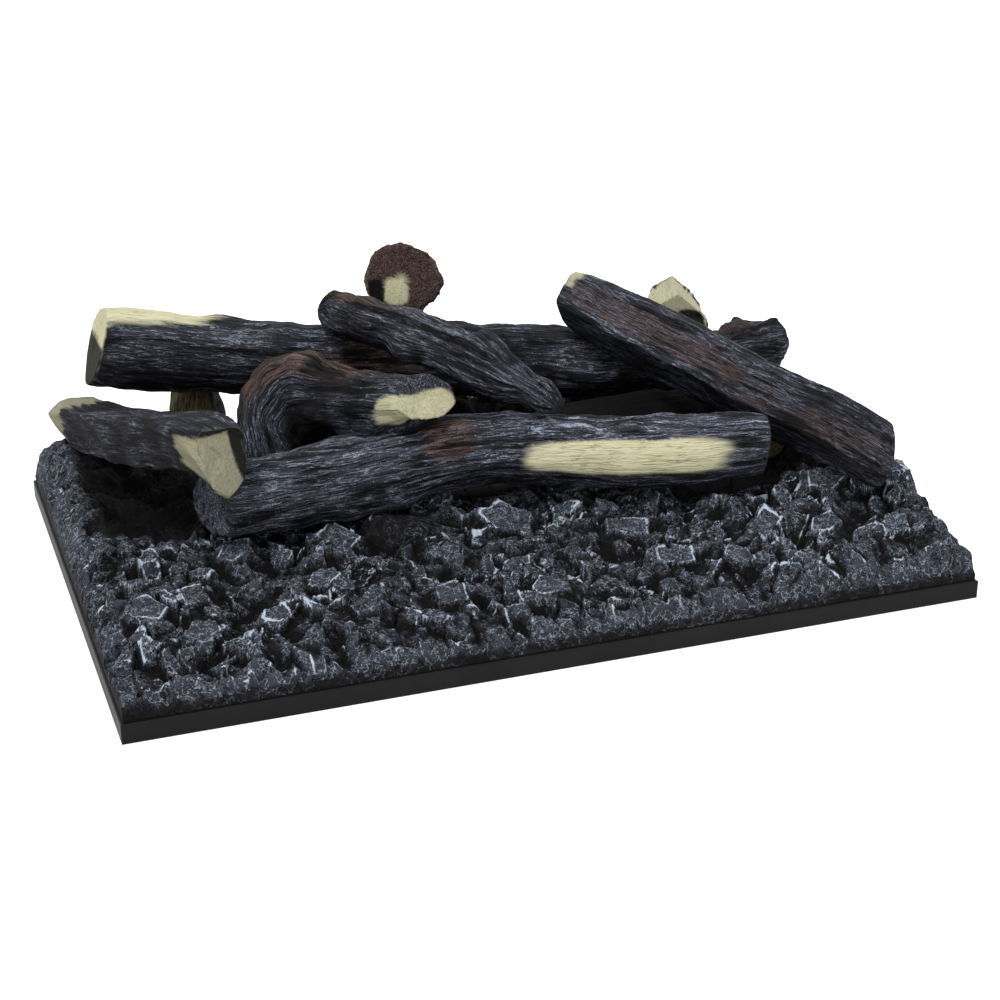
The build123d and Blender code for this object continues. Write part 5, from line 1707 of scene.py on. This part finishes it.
@dataclass
class Hearth:
    """Tray, ember bed and the burner under the logs."""

    bed: EmberBed = field(default_factory=EmberBed)
    bed_finish: CastFinish = CastFinish(
        "ember_casting", body=srgb(13, 12, 13), body_light=srgb(50, 52, 60), soot_and_shade=srgb(10, 8, 8),
        crest=srgb(154, 164, 178), streak=(160.0, 160.0, 160.0), scratch=(110.0, 110.0, 110.0),
        crack=(80.0, 80.0, 80.0), grit=1100.0, line=0.026, scratched=0.6, relief=0.0008,
    )
    paint: MetalFinish = MetalFinish(
        "satin_black_paint", srgb(22, 21, 22), srgb(28, 27, 28), 0.5, 0.0,
        grain=(400.0, 400.0, 400.0), relief=0.00005, specular=0.12,
    )
    metals: tuple[tuple[MetalFinish, tuple[str, ...]], ...] = (
        # Near-black: heat-stained steel, kept this dark as painted shade so the tubes under the logs read as
        # the shade there.
        (MetalFinish("heat_stain_and_shade_tube", srgb(20, 18, 18), srgb(12, 10, 10), 0.8, 0.0, specular=0.1),
         ("front_burner_tube", "rear_burner_tube", "crossover_tube", "burner_end_caps", "mixer_tube",
          "mixer_end_cap", "pilot_burner", "thermocouple")),
        (MetalFinish("blackened_sheet", srgb(62, 60, 60), srgb(40, 37, 37), 0.55, 0.6),
         ("burner_brackets", "air_shutter", "inlet_bracket", "pilot_bracket")),
        (MetalFinish("plated_screw", srgb(180, 180, 182), srgb(140, 138, 134), 0.3), ("bracket_screws",)),
        (MetalFinish("brass", srgb(196, 164, 88), srgb(150, 118, 60), 0.28), ("orifice_spud", "inlet_block")),
        (MetalFinish("drawn_aluminium", srgb(190, 190, 192), srgb(160, 160, 162), 0.34), ("pilot_tube",)),
        (MetalFinish("white_ceramic", srgb(225, 222, 212), srgb(200, 196, 184), 0.3, 0.0),
         ("spark_electrode",)),
    )

    def build(self, nodes: dict[str, Object], bodies: dict[str, str]) -> None:
        """Makes the bed's skin and gives the tray and the burner their metals.

        Args:
            nodes: The CAD nodes' objects.
            bodies: The body that each node rides on.
        """
        material = self.bed_finish.material()
        for piece in self.bed.pieces(nodes[self.bed.node]):
            dress(piece, self.bed.node, bodies[self.bed.node], material)
        for finish, names in ((self.paint, ("base_plate",)), *self.metals):
            material = finish.material()
            for name in names:
                nodes[name].data.materials.clear()
                nodes[name].data.materials.append(material)
                LOG.info("%s: %s", name, finish.name)


@dataclass(frozen=True)
class Light:
    """An area light with its side in metres, or a sun with its angle in degrees."""

    name: str
    place: Triple
    power: float
    side: float = 0.0
    angle: float = 0.0

    def add(self) -> None:
        """Adds it to the scene, facing the middle of the part."""
        data = bpy.data.lights.new(self.name, "SUN" if self.angle else "AREA")
        data.energy = self.power
        if self.angle:
            data.angle = math.radians(self.angle)
        else:
            data.size = self.side
        light = linked(self.name, data)
        light.location = self.place
        light.rotation_euler = Vector(self.place).to_track_quat("Z", "Y").to_euler()


@dataclass
class Studio:
    """Pale floor, soft light, and the camera at the photograph's angle."""

    camera_place: Triple = (-0.4692, -1.3284, 0.6032)
    yaw: float = 20.36
    pitch: float = -21.8
    lens: float = 64.26
    floor_size: float = 12.0
    floor_colour: Colour = (0.9, 0.9, 0.9)
    floor_roughness: float = 0.8
    sensor: float = 36.0
    lights: tuple[Light, ...] = (
        Light("fill", (1.8, -1.2, 1.3), 5.0, side=1.6),
        Light("rim", (0.4, 1.6, 2.2), 18.0, side=1.6),
        Light("key", (-0.5, -0.55, 1.3), 2.6, angle=16.0),
    )
    sky_colour: Colour = (1.0, 1.0, 1.0)
    sky_strength: float = 1.0

    def build(self) -> None:
        """Adds the camera, the floor and the lights."""
        self.add_camera()
        self.add_floor()
        for light in self.lights:
            light.add()
        world = bpy.data.worlds.new("studio")
        bpy.context.scene.world = world
        world.use_nodes = True
        sky = world.node_tree.nodes["Background"].inputs
        sky["Color"].default_value = (*self.sky_colour, 1.0)
        sky["Strength"].default_value = self.sky_strength
        bpy.context.scene.view_settings.view_transform = "Standard"

    def add_camera(self) -> None:
        """The camera looks along its yaw, turned from +Y to the right, and its pitch."""
        data = bpy.data.cameras.new("camera")
        data.sensor_width = self.sensor
        data.lens = self.lens
        camera = linked("camera", data)
        camera.location = self.camera_place
        camera.rotation_euler = (math.radians(90 + self.pitch), 0, math.radians(-self.yaw))
        bpy.context.scene.camera = camera

    def add_floor(self) -> None:
        """A pale sheet under the tray."""
        half = self.floor_size / 2
        mesh = bpy.data.meshes.new("floor")
        square = [(-half, -half, 0), (half, -half, 0), (half, half, 0), (-half, half, 0)]
        mesh.from_pydata(square, [], [(0, 1, 2, 3)])
        floor = linked("floor", mesh)
        tree = NodeTree("pale_floor")
        tree.feed(tree.shader.inputs["Base Color"], self.floor_colour)
        tree.shader.inputs["Roughness"].default_value = self.floor_roughness
        mesh.materials.append(tree.material)


def corners(box: tuple[Vector, Vector]) -> list[list[float]]:
    """A box's two corners as plain lists of numbers."""
    return [list(corner) for corner in box]


def main() -> None:
    """Loads the frame, builds the studio, the hearth and the logs."""
    logging.basicConfig(level=logging.INFO, format="%(name)s: %(message)s")
    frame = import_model()
    groups = frame["record"]["behaviour"]["bodies"]
    bodies = {node: body for body, members in groups.items() for node in members}
    Studio().build()
    Hearth().build(frame["nodes"], bodies)
    LogStack().build(frame["nodes"], bodies)


if __name__ == "__main__":
    main()
